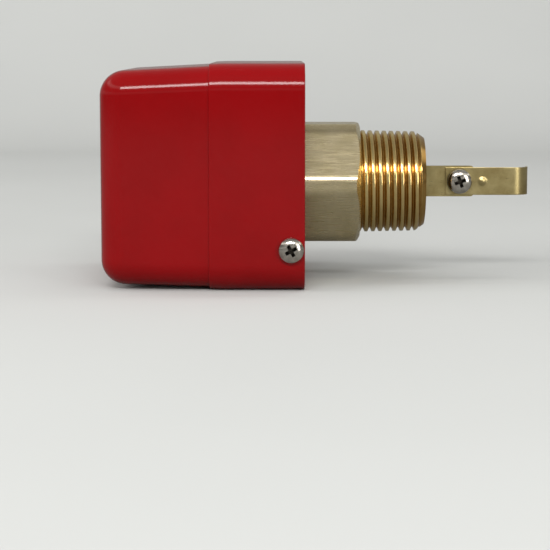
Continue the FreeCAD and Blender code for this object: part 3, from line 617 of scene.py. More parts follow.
def combine(bm: bmesh.types.BMesh, tools: Iterable[bmesh.types.BMesh], cut: Cut) -> bmesh.types.BMesh:
    """Cut closed tool bodies out of a closed mesh, or keep what it shares with them.

    Args:
        bm: the mesh, which is freed.
        tools: the tool bodies, which are freed.
        cut: what the tools do.

    Returns:
        The new mesh.
    """
    helpers = []
    for mesh in (bm, *tools):
        helper = add_object("helper", bpy.data.meshes.new("helper"))
        bmesh.ops.recalc_face_normals(mesh, faces=mesh.faces)
        mesh.to_mesh(helper.data)
        mesh.free()
        helpers.append(helper)
    base = helpers[0]
    for helper in helpers[1:]:
        modifier = base.modifiers.new("cut", "BOOLEAN")
        modifier.operation = cut.value
        modifier.solver = "EXACT"
        modifier.object = helper
    result = bmesh.new()
    result.from_object(base, bpy.context.evaluated_depsgraph_get())
    for helper in helpers:
        mesh = helper.data
        bpy.data.objects.remove(helper)
        bpy.data.meshes.remove(mesh)
    bmesh.ops.remove_doubles(result, verts=result.verts, dist=MERGE)
    return result


def keep(piece: bpy.types.Object, body: str, slot: str, *nodes: str) -> None:
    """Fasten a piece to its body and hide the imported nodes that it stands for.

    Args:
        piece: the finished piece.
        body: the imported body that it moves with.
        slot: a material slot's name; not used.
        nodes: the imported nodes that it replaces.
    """
    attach(piece, body)
    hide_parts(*nodes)
    log.info("%s on %s, %d faces", piece.name, body, len(piece.data.polygons))


def box_of(node: str) -> tuple[Vector, Vector]:
    """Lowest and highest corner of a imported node.

    Args:
        node: the node's name.

    Returns:
        The two corners in millimetres.
    """
    low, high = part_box(node)
    return low / MM, high / MM


@dataclass(frozen=True)
class Lamp:
    """Rectangular soft lamp in millimetres and watts; glossy faces show it only if it is mirrored."""

    name: str
    place: tuple[float, float, float]
    target: tuple[float, float, float]
    size: tuple[float, float]
    power: float
    mirrored: bool = True

    def hang(self) -> None:
        """Hang the lamp, facing its target."""
        data = bpy.data.lights.new(self.name, "AREA")
        data.shape = "RECTANGLE"
        data.size, data.size_y = (side * MM for side in self.size)
        data.energy = self.power
        lamp = add_object(self.name, data)
        lamp.visible_glossy = self.mirrored
        lamp.location = Vector(self.place) * MM
        way = Vector(self.target) - Vector(self.place)
        lamp.rotation_euler = way.to_track_quat("-Z", "Y").to_euler()


@dataclass
class Studio:
    """Pale paper sweep, soft lamps and the photograph's camera."""

    floor: float
    camera_along: float = -27.5
    distance: float = 620.0
    elevation: float = 4.15
    pitch: float = 7.0
    focal_pixels: float = 1890.0
    image_pixels: float = 550.0
    sweep_front: float = -1500.0
    sweep_back: float = 700.0
    sweep_round: float = 350.0
    sweep_height: float = 1500.0
    sweep_half_width: float = 1800.0
    floor_glint: float = 0.28
    wall_glint: float = 0.5
    floor_bounce: float = 0.4
    room_light: float = 0.72
    backdrop_light: float = 0.56
    room_steps: tuple[tuple[float, float], ...] = (
        (0, 0.06), (3, 0.3), (9, 0.42), (14, 0.16), (27, 0.2),
        (31, 1.2), (38, 1.2), (43, 0.28), (60, 0.32), (90, 0.24))
    room_tint: tuple[float, float, float] = (1.0, 0.995, 0.97)
    paper_colours: tuple[str, str] = ("C2C3C0", "C9CAC7")
    paper_bounce: str = "5A5A57"
    paper_cloud: float = 160.0
    paper_roughness: float = 0.9
    paper_sheen: float = 0.1
    sweep_steps: int = 24
    sensor_width: float = 36.0
    sight_end: float = 20.0
    lamps: tuple[Lamp, ...] = (
        Lamp("front_window", (-100, -1060, 700), (-20, 0, 0), (760, 200), 7.5),
        Lamp("left_fill", (-1100, -350, 500), (-60, 0, 0), (700, 700), 6, mirrored=False),
        Lamp("side_window", (600, -850, 60), (20, 0, 0), (300, 800), 4),
        Lamp("wall_wash", (0, 250, 1300), (0, 1000, 300), (1800, 300), 5, mirrored=False))

    def sweep(self) -> bpy.types.Object:
        """Build the floor that curves up into a wall.

        Returns:
            The sweep's object.
        """
        bm = bmesh.new()
        width = self.sweep_half_width
        edges = wire(bm, [Vector((-width, self.sweep_front, self.floor)),
                          Vector((width, self.sweep_front, self.floor))])
        edges = grow_ring(bm, edges, lambda co: Vector((co.x, self.sweep_back, co.z)))
        far = [edge for edge in bm.edges if all(v.co.y == self.sweep_back for v in edge.verts)]
        turned = bmesh.ops.spin(bm, geom=verts_of(far) + far, axis=(1, 0, 0), angle=math.pi / 2,
                                cent=(0, self.sweep_back, self.floor + self.sweep_round),
                                steps=self.sweep_steps)
        grow_ring(bm, last_ring(turned), lambda co: Vector((co.x, co.y, self.sweep_height)))
        bmesh.ops.recalc_face_normals(bm, faces=bm.faces)
        return mesh_object("paper_sweep", bm, [self.paper()])

    def paper(self) -> bpy.types.Material:
        """Make matt background paper, paler to the camera than the grey that it bounces onto the object.

        Returns:
            The material.
        """
        made = bpy.data.materials.new("matt_grey_paper")
        tree = blank_tree(made)
        place = add_node(tree, "ShaderNodeTexCoord").outputs["Object"]
        shown = blend(tree, noise(tree, place, self.paper_cloud, detail=2), self.paper_colours)
        path = add_node(tree, "ShaderNodeLightPath").outputs
        height = add_node(tree, "ShaderNodeSeparateXYZ", links={"Vector": place})
        rise = add_node(tree, "ShaderNodeMapRange",
                        {"From Min": self.floor * MM,
                         "From Max": (self.floor + self.sweep_round / 2) * MM,
                         "To Min": self.floor_glint, "To Max": self.wall_glint},
                        {"Value": height.outputs["Z"]})
        glint = math_of(tree, "MULTIPLY", rise.outputs["Result"], path["Is Glossy Ray"])
        seen = math_of(tree, "MAXIMUM", path["Is Camera Ray"], path["Is Transmission Ray"])
        bounce = add_node(tree, "ShaderNodeMath", {1: self.floor_bounce}, {0: path["Is Diffuse Ray"]},
                          operation="MULTIPLY")
        bent = math_of(tree, "MAXIMUM", bounce.outputs["Value"], glint)
        colour = add_node(tree, "ShaderNodeMix", {MIX_FIRST: linear(self.paper_bounce)},
                          {0: math_of(tree, "MAXIMUM", seen, bent), MIX_SECOND: shown}, data_type="RGBA")
        shader = add_node(tree, "ShaderNodeBsdfPrincipled",
                          {"Roughness": self.paper_roughness, "Specular IOR Level": self.paper_sheen},
                          {"Base Color": colour.outputs[MIX_RESULT]})
        add_node(tree, "ShaderNodeOutputMaterial", links={"Surface": shader.outputs["BSDF"]})
        return made

    def room(self) -> None:
        """Light the object evenly from all round, and mirror the room's bands of height in it."""
        world = bpy.data.worlds.new("room")
        bpy.context.scene.world = world
        tree = blank_tree(world)
        way = add_node(tree, "ShaderNodeTexCoord").outputs["Generated"]
        split = add_node(tree, "ShaderNodeSeparateXYZ", links={"Vector": way})
        ramp = add_node(tree, "ShaderNodeValToRGB", links={"Fac": split.outputs["Z"]})
        steps = ramp.color_ramp.elements
        for _ in range(len(self.room_steps) - 2):
            steps.new(0.5)
        for step, (elevation, level) in zip(steps, self.room_steps):
            step.position = max(math.sin(math.radians(elevation)), 0)
            step.color = tuple(level * tint for tint in self.room_tint) + (1,)
        path = add_node(tree, "ShaderNodeLightPath").outputs
        around = add_node(tree, "ShaderNodeMix", {MIX_FIRST: (self.room_light,) * 3 + (1,)},
                          {0: path["Is Glossy Ray"], MIX_SECOND: ramp.outputs["Color"]},
                          data_type="RGBA")
        colour = add_node(tree, "ShaderNodeMix", {MIX_SECOND: (self.backdrop_light,) * 3 + (1,)},
                          {0: path["Is Camera Ray"], MIX_FIRST: around.outputs[MIX_RESULT]},
                          data_type="RGBA")
        shader = add_node(tree, "ShaderNodeBackground", {"Strength": 1.0},
                          {"Color": colour.outputs[MIX_RESULT]})
        add_node(tree, "ShaderNodeOutputWorld", links={"Surface": shader.outputs["Background"]})

    def camera(self) -> None:
        """Set the photograph's camera, which looks along +Y and down by the pitch."""
        sight = math.radians(self.elevation)
        data = bpy.data.cameras.new("camera")
        data.sensor_width = self.sensor_width
        data.lens = self.focal_pixels * data.sensor_width / self.image_pixels
        data.clip_end = self.sight_end
        camera = add_object("camera", data)
        camera.location = Vector((self.camera_along, -self.distance * math.cos(sight),
                                  self.distance * math.sin(sight))) * MM
        camera.rotation_euler = (math.radians(90 - self.pitch), 0, 0)
        bpy.context.scene.camera = camera

    def build(self) -> None:
        """Set up the whole studio."""
        bpy.context.scene.view_settings.view_transform = "Standard"
        self.camera()
        self.room()
        self.sweep()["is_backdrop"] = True
        for lamp in self.lamps:
            lamp.hang()


@dataclass
class Cover:
    """Moulded cup: straight half at the rim, a small step, then a drafted half with round end edges."""

    corner_round: float = 8.5
    end_round: float = 7.5
    wall: float = 2.5
    rear_length: float = 29.5
    step_height: float = 0.8
    step_round: float = 0.35
    lead_in_length: float = 4.0
    lead_in_depth: float = 0.16
    rim_round: float = 0.3
    side_draft: float = 3.0
    top_draft: float = 3.0
    bottom_draft: float = 1.4
    pocket_margin: float = 1.0
    pocket_round: float = 3.0
    screw_hole: float = 2.2
    hole_sides: int = 32
    facets: int = 14
    pocket_facets: int = 8
    edge_turn: float = 50.0

    def __post_init__(self) -> None:
        """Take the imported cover's box and find the step."""
        self.low, self.high = box_of("cover")
        self.step_x = self.high.x - self.rear_length

    def draw_in(self, co: Vector) -> Vector:
        """Move a point of the step's outline to the closed end, drawn in by the drafts.

        Args:
            co: the point at the step.

        Returns:
            The point at the closed end.
        """
        run = self.step_x - self.low.x
        half = self.high.y - self.step_height
        bottom = self.low.z + self.step_height
        top = self.high.z - self.step_height
        new_half = half - run * math.tan(math.radians(self.side_draft))
        new_bottom = bottom + run * math.tan(math.radians(self.bottom_draft))
        new_top = top - run * math.tan(math.radians(self.top_draft))
        height = (co.z - bottom) / (top - bottom)
        return Vector((self.low.x, co.y * new_half / half, new_bottom + height * (new_top - new_bottom)))

    def shell(self) -> bmesh.types.BMesh:
        """Model the cup: a block that is rounded, stepped, drawn out, rounded again and hollowed.

        Returns:
            The shell's mesh.
        """
        bm = bmesh.new()
        box_mesh(bm, (self.step_x, self.low.y, self.low.z), self.high)
        soften(bm, edges_along_x(bm), self.corner_round, self.facets)
        cut_plane(bm, (self.step_x + self.lead_in_length, 0, 0), (1, 0, 0))
        middle = (self.low.z + self.high.z) / 2
        for vert in (vert for vert in bm.verts if vert.co.x < self.step_x + CLOSE):
            vert.co.y *= 1 - self.lead_in_depth / self.high.y
            vert.co.z = middle + (vert.co.z - middle) * (1 - self.lead_in_depth / (self.high.z - middle))
        end = min(bm.faces, key=lambda face: face.calc_center_median().x)
        bmesh.ops.inset_region(bm, faces=[end], thickness=self.step_height - self.lead_in_depth,
                               use_even_offset=True)
        end = min(bm.faces, key=lambda face: (face.calc_center_median().x, -face.calc_area()))
        grown = bmesh.ops.extrude_face_region(bm, geom=[end])["geom"]
        for vert in (part for part in grown if isinstance(part, bmesh.types.BMVert)):
            vert.co = self.draw_in(vert.co)
        if end.is_valid:
            bmesh.ops.delete(bm, geom=[end], context="FACES_ONLY")
        loop = [edge for edge in bm.edges if all(v.co.x < self.low.x + CLOSE for v in edge.verts)]
        soften(bm, loop, self.end_round, self.facets)
        rim = max(bm.faces, key=lambda face: face.calc_center_median().x)
        bmesh.ops.delete(bm, geom=[rim], context="FACES_ONLY")
        bmesh.ops.recalc_face_normals(bm, faces=bm.faces)
        bmesh.ops.solidify(bm, geom=bm.faces, thickness=self.wall)
        return bm

    def trimmed(self, bm: bmesh.types.BMesh) -> None:
        """Round the step's edge and the rim's two edges.

        Args:
            bm: the shell's mesh.
        """
        step = sharp_edges(bm, self.edge_turn, lambda middle: abs(middle.x - self.step_x) < CLOSE)
        rim = sharp_edges(bm, self.edge_turn, lambda middle: abs(middle.x - self.high.x) < CLOSE)
        soften(bm, [edge for edge in step if edge.is_convex], self.step_round)
        soften(bm, [edge for edge in rim if edge.is_valid], self.rim_round)

    def pocket(self) -> bmesh.types.BMesh:
        """Cutter for the shallow pocket that the label lies in.

        Returns:
            The cutter's mesh.
        """
        label_low, label_high = box_of("label_plate")
        margin = self.pocket_margin
        bm = bmesh.new()
        box_mesh(bm, (self.low.x - EXCESS, label_low.y - margin, label_low.z - margin),
                 (label_high.x, label_high.y + margin, label_high.z + margin))
        soften(bm, edges_along_x(bm), self.pocket_round, self.pocket_facets)
        return bm

    def screw_holes(self) -> list[bmesh.types.BMesh]:
        """Cutters for the two holes under the screws' heads."""
        return [rod(self.screw_hole, 4 * self.wall, laid(middle), self.hole_sides)
                for middle, _ in CoverScrews().places()]

    def build(self) -> None:
        """Build the cover."""
        bm = self.shell()
        self.trimmed(bm)
        bm = combine(bm, [self.pocket()] + self.screw_holes(), Cut.REMOVE)
        keep(finish_mesh("moulded_cover", bm, [RED_ABS]), "root", "red_abs", "cover")


@dataclass
class CrossScrew:
    """Pan head screw with a cross recess, standing on z = 0 with its shank below."""

    radius: float
    length: float
    head_radius: float
    head_height: float
    recess_half: float = 2.5
    recess_width: float = 1.35
    recess_depth: float = 1.8
    crown_bulge: float = 0.8
    crown_fall: float = 0.9
    side_share: float = 0.28
    crown_steps: int = 10
    seat_break: float = 0.12
    tip_break: float = 0.4
    blade_taper: tuple[float, float] = (0.42, 0.55)
    recess_skin: float = 0.1
    facets: int = 48

    def crown_height(self, radius: float) -> float:
        """Find how high the head's crown stands.

        Args:
            radius: distance from the screw's axis.

        Returns:
            The height there.
        """
        side = self.head_height * self.side_share
        sine = min(radius / self.head_radius, 1) ** (1 / self.crown_bulge)
        return side + (self.head_height - side) * math.sqrt(1 - sine * sine) ** self.crown_fall

    def head_outline(self) -> list[tuple[float, float]]:
        """Outline of head and shank, from the crown's middle round to the shank's tip.

        Returns:
            Radius and height of each point.
        """
        crown = []
        for step in range(self.crown_steps + 1):
            sine = math.sin(math.radians(90 * step / self.crown_steps))
            radius = self.head_radius * sine ** self.crown_bulge
            crown.append((radius, self.crown_height(radius)))
        return crown + [(self.head_radius, self.seat_break), (self.head_radius - self.seat_break, 0),
                        (self.radius, 0), (self.radius, self.tip_break - self.length),
                        (self.radius - self.tip_break, -self.length), (0, -self.length)]

    def blade(self, turn: float) -> bmesh.types.BMesh:
        """One of the two tapered blades that press the recess.

        Args:
            turn: its turn about the screw in radians.

        Returns:
            The blade's mesh.
        """
        bm = bmesh.new()
        floor = self.head_height - self.recess_depth
        verts = box_mesh(bm, (-self.recess_half, -self.recess_width / 2, floor),
                         (self.recess_half, self.recess_width / 2, self.head_height + EXCESS))
        for vert in verts:
            if vert.co.z < self.head_height:
                vert.co.x *= self.blade_taper[0]
                vert.co.y *= self.blade_taper[1]
        bmesh.ops.rotate(bm, cent=(0, 0, 0), matrix=Matrix.Rotation(turn, 3, "Z"), verts=bm.verts)
        return bm

    def mesh(self, turn: float = 0.0) -> bmesh.types.BMesh:
        """Model the screw.

        Args:
            turn: how far its recess is turned, in radians.

        Returns:
            The screw's mesh.
        """
        bm = bmesh.new()
        lathe(bm, self.head_outline(), self.facets)
        bm = combine(bm, [self.blade(turn), self.blade(turn + math.pi / 2)], Cut.REMOVE)
        # Faces down in the cross recess take material 1, nickel darkened as painted shade.
        for face in bm.faces:
            middle = face.calc_center_median()
            radius = math.hypot(middle.x, middle.y)
            under = self.crown_height(radius) - self.recess_skin
            if self.recess_skin < middle.z < under and radius < self.recess_half:
                face.material_index = 1
        return bm


def join_placed(parts: Iterable[tuple[bmesh.types.BMesh, Matrix]]) -> bmesh.types.BMesh:
    """Bring several meshes into one, each at its place.

    Args:
        parts: each mesh, which is freed, with the transform to its place.

    Returns:
        One mesh with all of them.
    """
    together = bmesh.new()
    for part, place in parts:
        bmesh.ops.transform(part, matrix=place, verts=part.verts)
        carrier = bpy.data.meshes.new("carrier")
        part.to_mesh(carrier)
        part.free()
        together.from_mesh(carrier)
        bpy.data.meshes.remove(carrier)
    return together


@dataclass
class CoverScrews:
    """Two M4 screws through the cover's sides, one low at the front and one high at the back."""

    radius: float = 1.95
    head_radius: float = 4.0
    length: float = 11.0
    turns: tuple[float, float] = (0.5, 1.1)

    def places(self) -> list[tuple[Vector, float]]:
        """Middle of each head's seat on the cover, with the side that it is on.

        Returns:
            The places, with -1 for the front and 1 for the back.
        """
        low, high = box_of("cover_screws")
        cover_low, cover_high = box_of("cover")
        middle = (low.x + high.x) / 2
        return [(Vector((middle, cover_low.y, low.z + self.head_radius)), -1.0),
                (Vector((middle, cover_high.y, high.z - self.head_radius)), 1.0)]

    def build(self) -> None:
        """Build both screws as one piece."""
        low, _ = box_of("cover_screws")
        height = self.places()[0][0].y - low.y
        screw = CrossScrew(self.radius, self.length, self.head_radius, height)
        parts = []
        for (middle, side), turn in zip(self.places(), self.turns):
            parts.append((screw.mesh(turn), laid(middle, -side)))
        keep(finish_mesh("cover_side_screws", join_placed(parts), [NICKEL_STEEL, SHADED_RECESS]), "root",
             "nickel_steel", "cover_screws")


@dataclass
class Label:
    """Film label on the closed end: red band with a flow arrow above a white field with blank rules."""

    corner: float = 2.0
    corner_facets: int = 8
    band: float = 6.8
    print_depth: float = 0.03
    arrow_inset: float = 2.2
    arrow_length: float = 12.0
    arrow_line: float = 0.55
    arrow_barb: float = 2.6
    rule: float = 0.28
    rules: tuple[tuple[float, float, float], ...] = (
        (8.036, 0.16, 0.84), (12.74, 0.38, 0.84), (16.268, 0.38, 0.84), (19.796, 0.38, 0.84),
        (25.088, 0.1, 0.9))

    def __post_init__(self) -> None:
        """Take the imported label's box and find the face under the print."""
        self.low, self.high = box_of("label_plate")
        self.face = self.low.x + self.print_depth

    def film(self) -> bmesh.types.BMesh:
        """The label itself, split where the band meets the field.

        Returns:
            The label's mesh, with the band's faces on material 1.
        """
        bm = bmesh.new()
        box_mesh(bm, (self.face, self.low.y, self.low.z), self.high)
        soften(bm, edges_along_x(bm), self.corner, self.corner_facets)
        border = self.high.z - self.band
        cut_plane(bm, (0, 0, border), (0, 0, 1))
        for face in bm.faces:
            face.material_index = 1 if face.calc_center_median().z > border else 0
        return bm

    def bar(self, start: tuple[float, float], finish: tuple[float, float],
            width: float) -> bmesh.types.BMesh:
        """A printed line.

        Args:
            start: its start on the label, as Y and Z.
            finish: its end.
            width: its width.

        Returns:
            The line's mesh.
        """
        bm = bmesh.new()
        run = Vector((0, finish[0] - start[0], finish[1] - start[1]))
        box_mesh(bm, (-self.print_depth, 0, -width / 2), (0, run.length, width / 2))
        turn = Matrix.Rotation(math.atan2(run.z, run.y), 4, "X")
        bmesh.ops.transform(bm, matrix=Matrix.Translation((self.face, *start)) @ turn, verts=bm.verts)
        return bm

    def arrow(self) -> list[bmesh.types.BMesh]:
        """The flow arrow in the band, which points to the reader's right.

        Returns:
            The arrow's shaft and its two barbs.
        """
        height = self.high.z - self.band / 2
        tip = self.low.y + self.arrow_inset
        barb = self.arrow_barb * math.sqrt(0.5)
        return [self.bar((tip + along, height + up), (tip, height), self.arrow_line)
                for along, up in ((self.arrow_length, 0), (barb, barb), (barb, -barb))]

    def blank_rules(self) -> list[bmesh.types.BMesh]:
        """Rules on the field, where a fitter writes.

        Returns:
            The rules' meshes.
        """
        width = self.high.y - self.low.y
        lines = []
        for down, left, right in self.rules:
            height = self.high.z - self.band - down
            lines.append(self.bar((self.high.y - width * right, height),
                                  (self.high.y - width * left, height), self.rule))
        return lines

    def build(self) -> None:
        """Build the label with its print."""
        parts = [self.film()]
        for index, group in ((0, self.arrow()), (2, self.blank_rules())):
            for line in group:
                for face in line.faces:
                    face.material_index = index
                parts.append(line)
        bm = join_placed([(part, Matrix.Identity(4)) for part in parts])
        keep(finish_mesh("film_label", bm, [LABEL_WHITE, LABEL_RED, LABEL_RULE]), "root", "label_film",
             "label_plate")


@dataclass
class Fitting:
    """Brass fitting: hexagon with turned corners and a tapered pipe thread, bored for the lever."""

    pitch: float = 2.309
    crest: float = 16.6
    depth: float = 1.25
    form: tuple[tuple[float, float], ...] = (
        (0, 1), (0.16, 1), (0.21, 0.96), (0.24, 0.87), (0.425, 0.1), (0.46, 0.02))
    taper: float = 1 / 48
    lead_radius: float = 14.225
    lead_length: float = 3.3
    across_flats: float = 38.0
    crown_radius: float = 18.2
    crown_angle: float = 30.0
    neck_radius: float = 14.5
    neck_bore: float = 11.5
    chamber: float = 12.5
    chamber_floor: float = -16.0
    bore_edge: float = 0.5
    hexagon_length: float = 18.8
    columns: int = 144
    first_turn: float = -1.5
    spare_turns: int = 3
    smooth_depth: float = 1.0
    lead_depth: float = 0.8
    crease: float = 24.0

    def __post_init__(self) -> None:
        """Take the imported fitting's box and count the thread's turns."""
        self.low, self.high = box_of("fitting_body")
        self.corner_radius = self.high.y
        self.turns = math.ceil(self.high.x / self.pitch) + self.spare_turns

    def thread_form(self, start: float) -> list[Vector]:
        """One pitch of the thread: a flat crest with worn edges, straight flanks and a narrow root.

        Args:
            start: where the pitch starts, at the middle of a crest.

        Returns:
            The form's points, from crest to crest.
        """
        down = list(self.form)
        up = [(1 - along, height) for along, height in reversed(down)]
        return [Vector((start + along * self.pitch, 0, self.crest - self.depth * (1 - height)))
                for along, height in down + up]

    def hexagon_radius(self, co: Vector) -> float:
        """Radius of the hexagon, with its corners turned off.

        Args:
            co: a point in the direction that counts.

        Returns:
            The radius there.
        """
        off_flat = math.atan2(co.z, co.y) % (math.pi / 3) - math.pi / 6
        return min(self.across_flats / 2 / math.cos(off_flat), self.corner_radius)

    def cut_thread(self, bm: bmesh.types.BMesh) -> None:
        """Spin one pitch of the form along the helix, taper it, turn its lead and trim both ends.

        Args:
            bm: the mesh that gets the thread.
        """
        edges = wire(bm, self.thread_form(self.first_turn * self.pitch))
        bmesh.ops.spin(bm, geom=verts_of(edges) + edges, cent=(0, 0, 0), axis=(1, 0, 0),
                       dvec=(self.pitch / self.columns, 0, 0), angle=math.tau * self.turns,
                       steps=self.columns * self.turns)
        bmesh.ops.remove_doubles(bm, verts=bm.verts, dist=NEAR)
        end = self.high.x
        slope = (self.crest - self.lead_radius) / self.lead_length
        for vert in bm.verts:
            radius = math.hypot(vert.co.y, vert.co.z)
            lead = self.lead_radius + (end - vert.co.x) * slope
            wanted = min(radius - self.taper * max(vert.co.x, 0), lead)
            vert.co.yz = Vector(vert.co.yz) * wanted / radius
        for place, way in ((0.0, -1), (end, 1)):
            cut_plane(bm, (place, 0, 0), (way, 0, 0), clear=True)

    def open_ring(self, bm: bmesh.types.BMesh, x: float) -> list[bmesh.types.BMEdge]:
        """Find the mesh's open edges in a plane across its axis.

        Args:
            bm: the mesh.
            x: the plane's place along the axis.

        Returns:
            The edges.
        """
        return [edge for edge in bm.edges if edge.is_boundary
                and all(abs(vert.co.x - x) < NEAR for vert in edge.verts)]

    def body(self) -> bmesh.types.BMesh:
        """Grow the hexagon, neck and bore from the thread's foot round to its free end.

        Returns:
            The fitting's mesh.
        """
        bm = bmesh.new()
        self.cut_thread(bm)
        end = self.high.x
        slope = math.tan(math.radians(self.crown_angle))

        def shoulder(co: Vector) -> Vector:
            """Point on the hexagon's outline, as far back as the crown's bevel takes it."""
            radius = self.hexagon_radius(co)
            return on_circle((self.crown_radius - radius) * slope, radius, co)

        def back(co: Vector) -> Vector:
            """Point on the hexagon's outline at its back face."""
            return on_circle(-self.hexagon_length, self.hexagon_radius(co), co)

        circles = [partial(on_circle, x, radius) for x, radius in (
            (0, self.crown_radius), (-self.hexagon_length, self.neck_radius),
            (self.low.x, self.neck_radius), (self.low.x, self.neck_bore),
            (self.chamber_floor, self.neck_bore), (self.chamber_floor, self.chamber),
            (end - self.bore_edge, self.chamber), (end, self.chamber + self.bore_edge))]
        ring = self.open_ring(bm, 0)
        for place in (circles[0], shoulder, back, *circles[1:]):
            ring = grow_ring(bm, ring, place)
        bmesh.ops.bridge_loops(bm, edges=self.open_ring(bm, end))
        return bm

    def build(self) -> None:
        """Build the fitting with a finish for each way that it was cut."""
        bm = self.body()
        root = self.crest - self.depth - self.smooth_depth
        for face in bm.faces:
            middle = face.calc_center_median()
            radius = math.hypot(middle.y, middle.z)
            if middle.x > NEAR and radius > self.lead_radius - self.lead_depth:
                face.material_index = 1
            elif middle.x > NEAR or radius < self.neck_radius:
                face.material_index = 2
        piece = finish_mesh("threaded_fitting", bm, [HEXAGON_BRASS, THREAD_BRASS, TURNED_BRASS],
                            self.crease, lambda middle: CLOSE < middle.x < self.high.x - CLOSE
                            and math.hypot(middle.y, middle.z) > root)
        keep(piece, "root", "brass", "fitting_body")


@dataclass
class Paddle:
    """What the water pushes: a thin strip with a hooked end, and its screw, lock washer and nut."""

    strip_thickness: float = 0.5
    hook_radius: float = 5.0
    hook_tail: float = 1.5
    dimple_from_end: float = 15.3
    dimple_radius: float = 1.6
    dimple_height: float = 0.5
    dimple_power: float = 1.5
    washer_hole: float = 2.2
    washer_gap: float = 14.0
    nut_across: float = 7.0
    screw_radius: float = 1.95
    edge_break: float = 0.08
    grid: tuple[int, int] = (80, 32)
    hook_steps: int = 16
    edge_turn: float = 60.0
    hole_length: float = 12.0
    washer_lift: float = 0.18
    washer_steps: int = 60
    washer_break: float = 0.1
    washer_turn: float = -2.0
    nut_facets: int = 72
    nut_bevel: float = 30.0
    nut_clearance: float = 0.05
    screw_turn: float = 0.35

    def __post_init__(self) -> None:
        """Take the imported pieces' boxes, and the screw's place from them."""
        self.strip_low, self.strip_high = box_of("paddle_strip")
        self.washer_low, self.washer_high = box_of("paddle_lock_washer")
        self.screw_low, self.screw_high = box_of("paddle_screw")
        self.nut_low, self.nut_high = box_of("paddle_nut")
        self.screw_x = (self.screw_low.x + self.screw_high.x) / 2
        self.front = self.washer_high.y

    def strip(self) -> bmesh.types.BMesh:
        """Lay a grid, bend its end round the hook, thicken it and press the dimple.

        Returns:
            The strip's mesh.
        """
        bm = bmesh.new()
        start = self.strip_low.x
        bend = self.strip_high.x - self.hook_radius
        half = self.strip_high.z
        stretch = Matrix.Diagonal(((bend - start) / 2, half, 1, 1))
        place = laid(((start + bend) / 2, self.front, 0)) @ stretch
        bmesh.ops.create_grid(bm, x_segments=self.grid[0], y_segments=self.grid[1], size=1, matrix=place)
        last = [edge for edge in bm.edges if all(abs(v.co.x - bend) < NEAR for v in edge.verts)]
        turned = bmesh.ops.spin(bm, geom=verts_of(last) + last,
                                cent=(bend, self.front + self.hook_radius, 0), axis=(0, 0, 1),
                                angle=math.pi / 2, steps=self.hook_steps)
        grow_ring(bm, last_ring(turned), lambda co: co + Vector((0, self.hook_tail, 0)))
        bmesh.ops.recalc_face_normals(bm, faces=bm.faces)
        flat = next(face for face in bm.faces if face.calc_center_median().x < bend)
        if flat.normal.y > 0:
            bmesh.ops.reverse_faces(bm, faces=bm.faces)
        bmesh.ops.solidify(bm, geom=bm.faces, thickness=self.strip_thickness)
        soften(bm, sharp_edges(bm, self.edge_turn), self.edge_break, 2)
        middle = Vector((self.strip_high.x - self.dimple_from_end, 0))
        for vert in bm.verts:
            off = (Vector((vert.co.x, vert.co.z)) - middle).length / self.dimple_radius
            if off < 1:
                vert.co.y -= self.dimple_height * (1 - off * off) ** self.dimple_power
        return bm

    def hole(self) -> bmesh.types.BMesh:
        """Cutter for the screw's hole in the strip."""
        return rod(self.washer_hole, self.hole_length, laid((self.screw_x, self.front, 0)))

    def lock_washer(self) -> bmesh.types.BMesh:
        """Split spring washer, sprung open by a little at its gap.

        Returns:
            The washer's mesh.
        """
        outer = self.washer_high.z
        height = self.washer_high.y - self.washer_low.y - self.washer_lift
        bm = bmesh.new()
        corners = [(self.washer_hole, 0), (outer, 0), (outer, height), (self.washer_hole, height)]
        wire(bm, [Vector((radius, 0, up)) for radius, up in corners + corners[:1]])
        bmesh.ops.remove_doubles(bm, verts=bm.verts, dist=MERGE)
        bmesh.ops.spin(bm, geom=list(bm.verts) + list(bm.edges), cent=(0, 0, 0), axis=(0, 0, 1),
                       dvec=(0, 0, self.washer_lift / self.washer_steps), steps=self.washer_steps,
                       angle=math.radians(360 - self.washer_gap))
        bmesh.ops.holes_fill(bm, edges=bm.edges, sides=4)
        soften(bm, sharp_edges(bm, self.edge_turn), self.washer_break, 2)
        place = laid((self.screw_x, self.washer_high.y, 0)) @ Matrix.Rotation(self.washer_turn, 4, "Z")
        bmesh.ops.transform(bm, matrix=place, verts=bm.verts)
        return bm

    def nut(self) -> bmesh.types.BMesh:
        """Hexagon nut with bevelled corners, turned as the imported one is.

        Returns:
            The nut's mesh.
        """
        height = self.nut_high.y - self.nut_low.y
        corner = self.nut_across / math.sqrt(3)
        across_z = self.nut_high.z - self.nut_low.z
        turn = 0.0 if across_z > (self.nut_across + 2 * corner) / 2 else math.pi / 6
        upright = Matrix.Translation((0, 0, height / 2)) @ Matrix.Rotation(turn, 4, "Z")
        crown = bmesh.new()
        drop = (corner - self.nut_across / 2) * math.tan(math.radians(self.nut_bevel))
        lathe(crown, [(0, 0), (self.nut_across / 2, 0), (corner + CLOSE, drop),
                      (corner + CLOSE, height - drop), (self.nut_across / 2, height), (0, height)],
              self.nut_facets)
        bm = combine(rod(corner, height, upright, 6), [crown], Cut.SHARE)
        hole = rod(self.screw_radius + self.nut_clearance, 4 * height, Matrix.Identity(4))
        bm = combine(bm, [hole], Cut.REMOVE)
        bmesh.ops.transform(bm, matrix=laid((self.screw_x, self.nut_low.y, 0), -1), verts=bm.verts)
        return bm

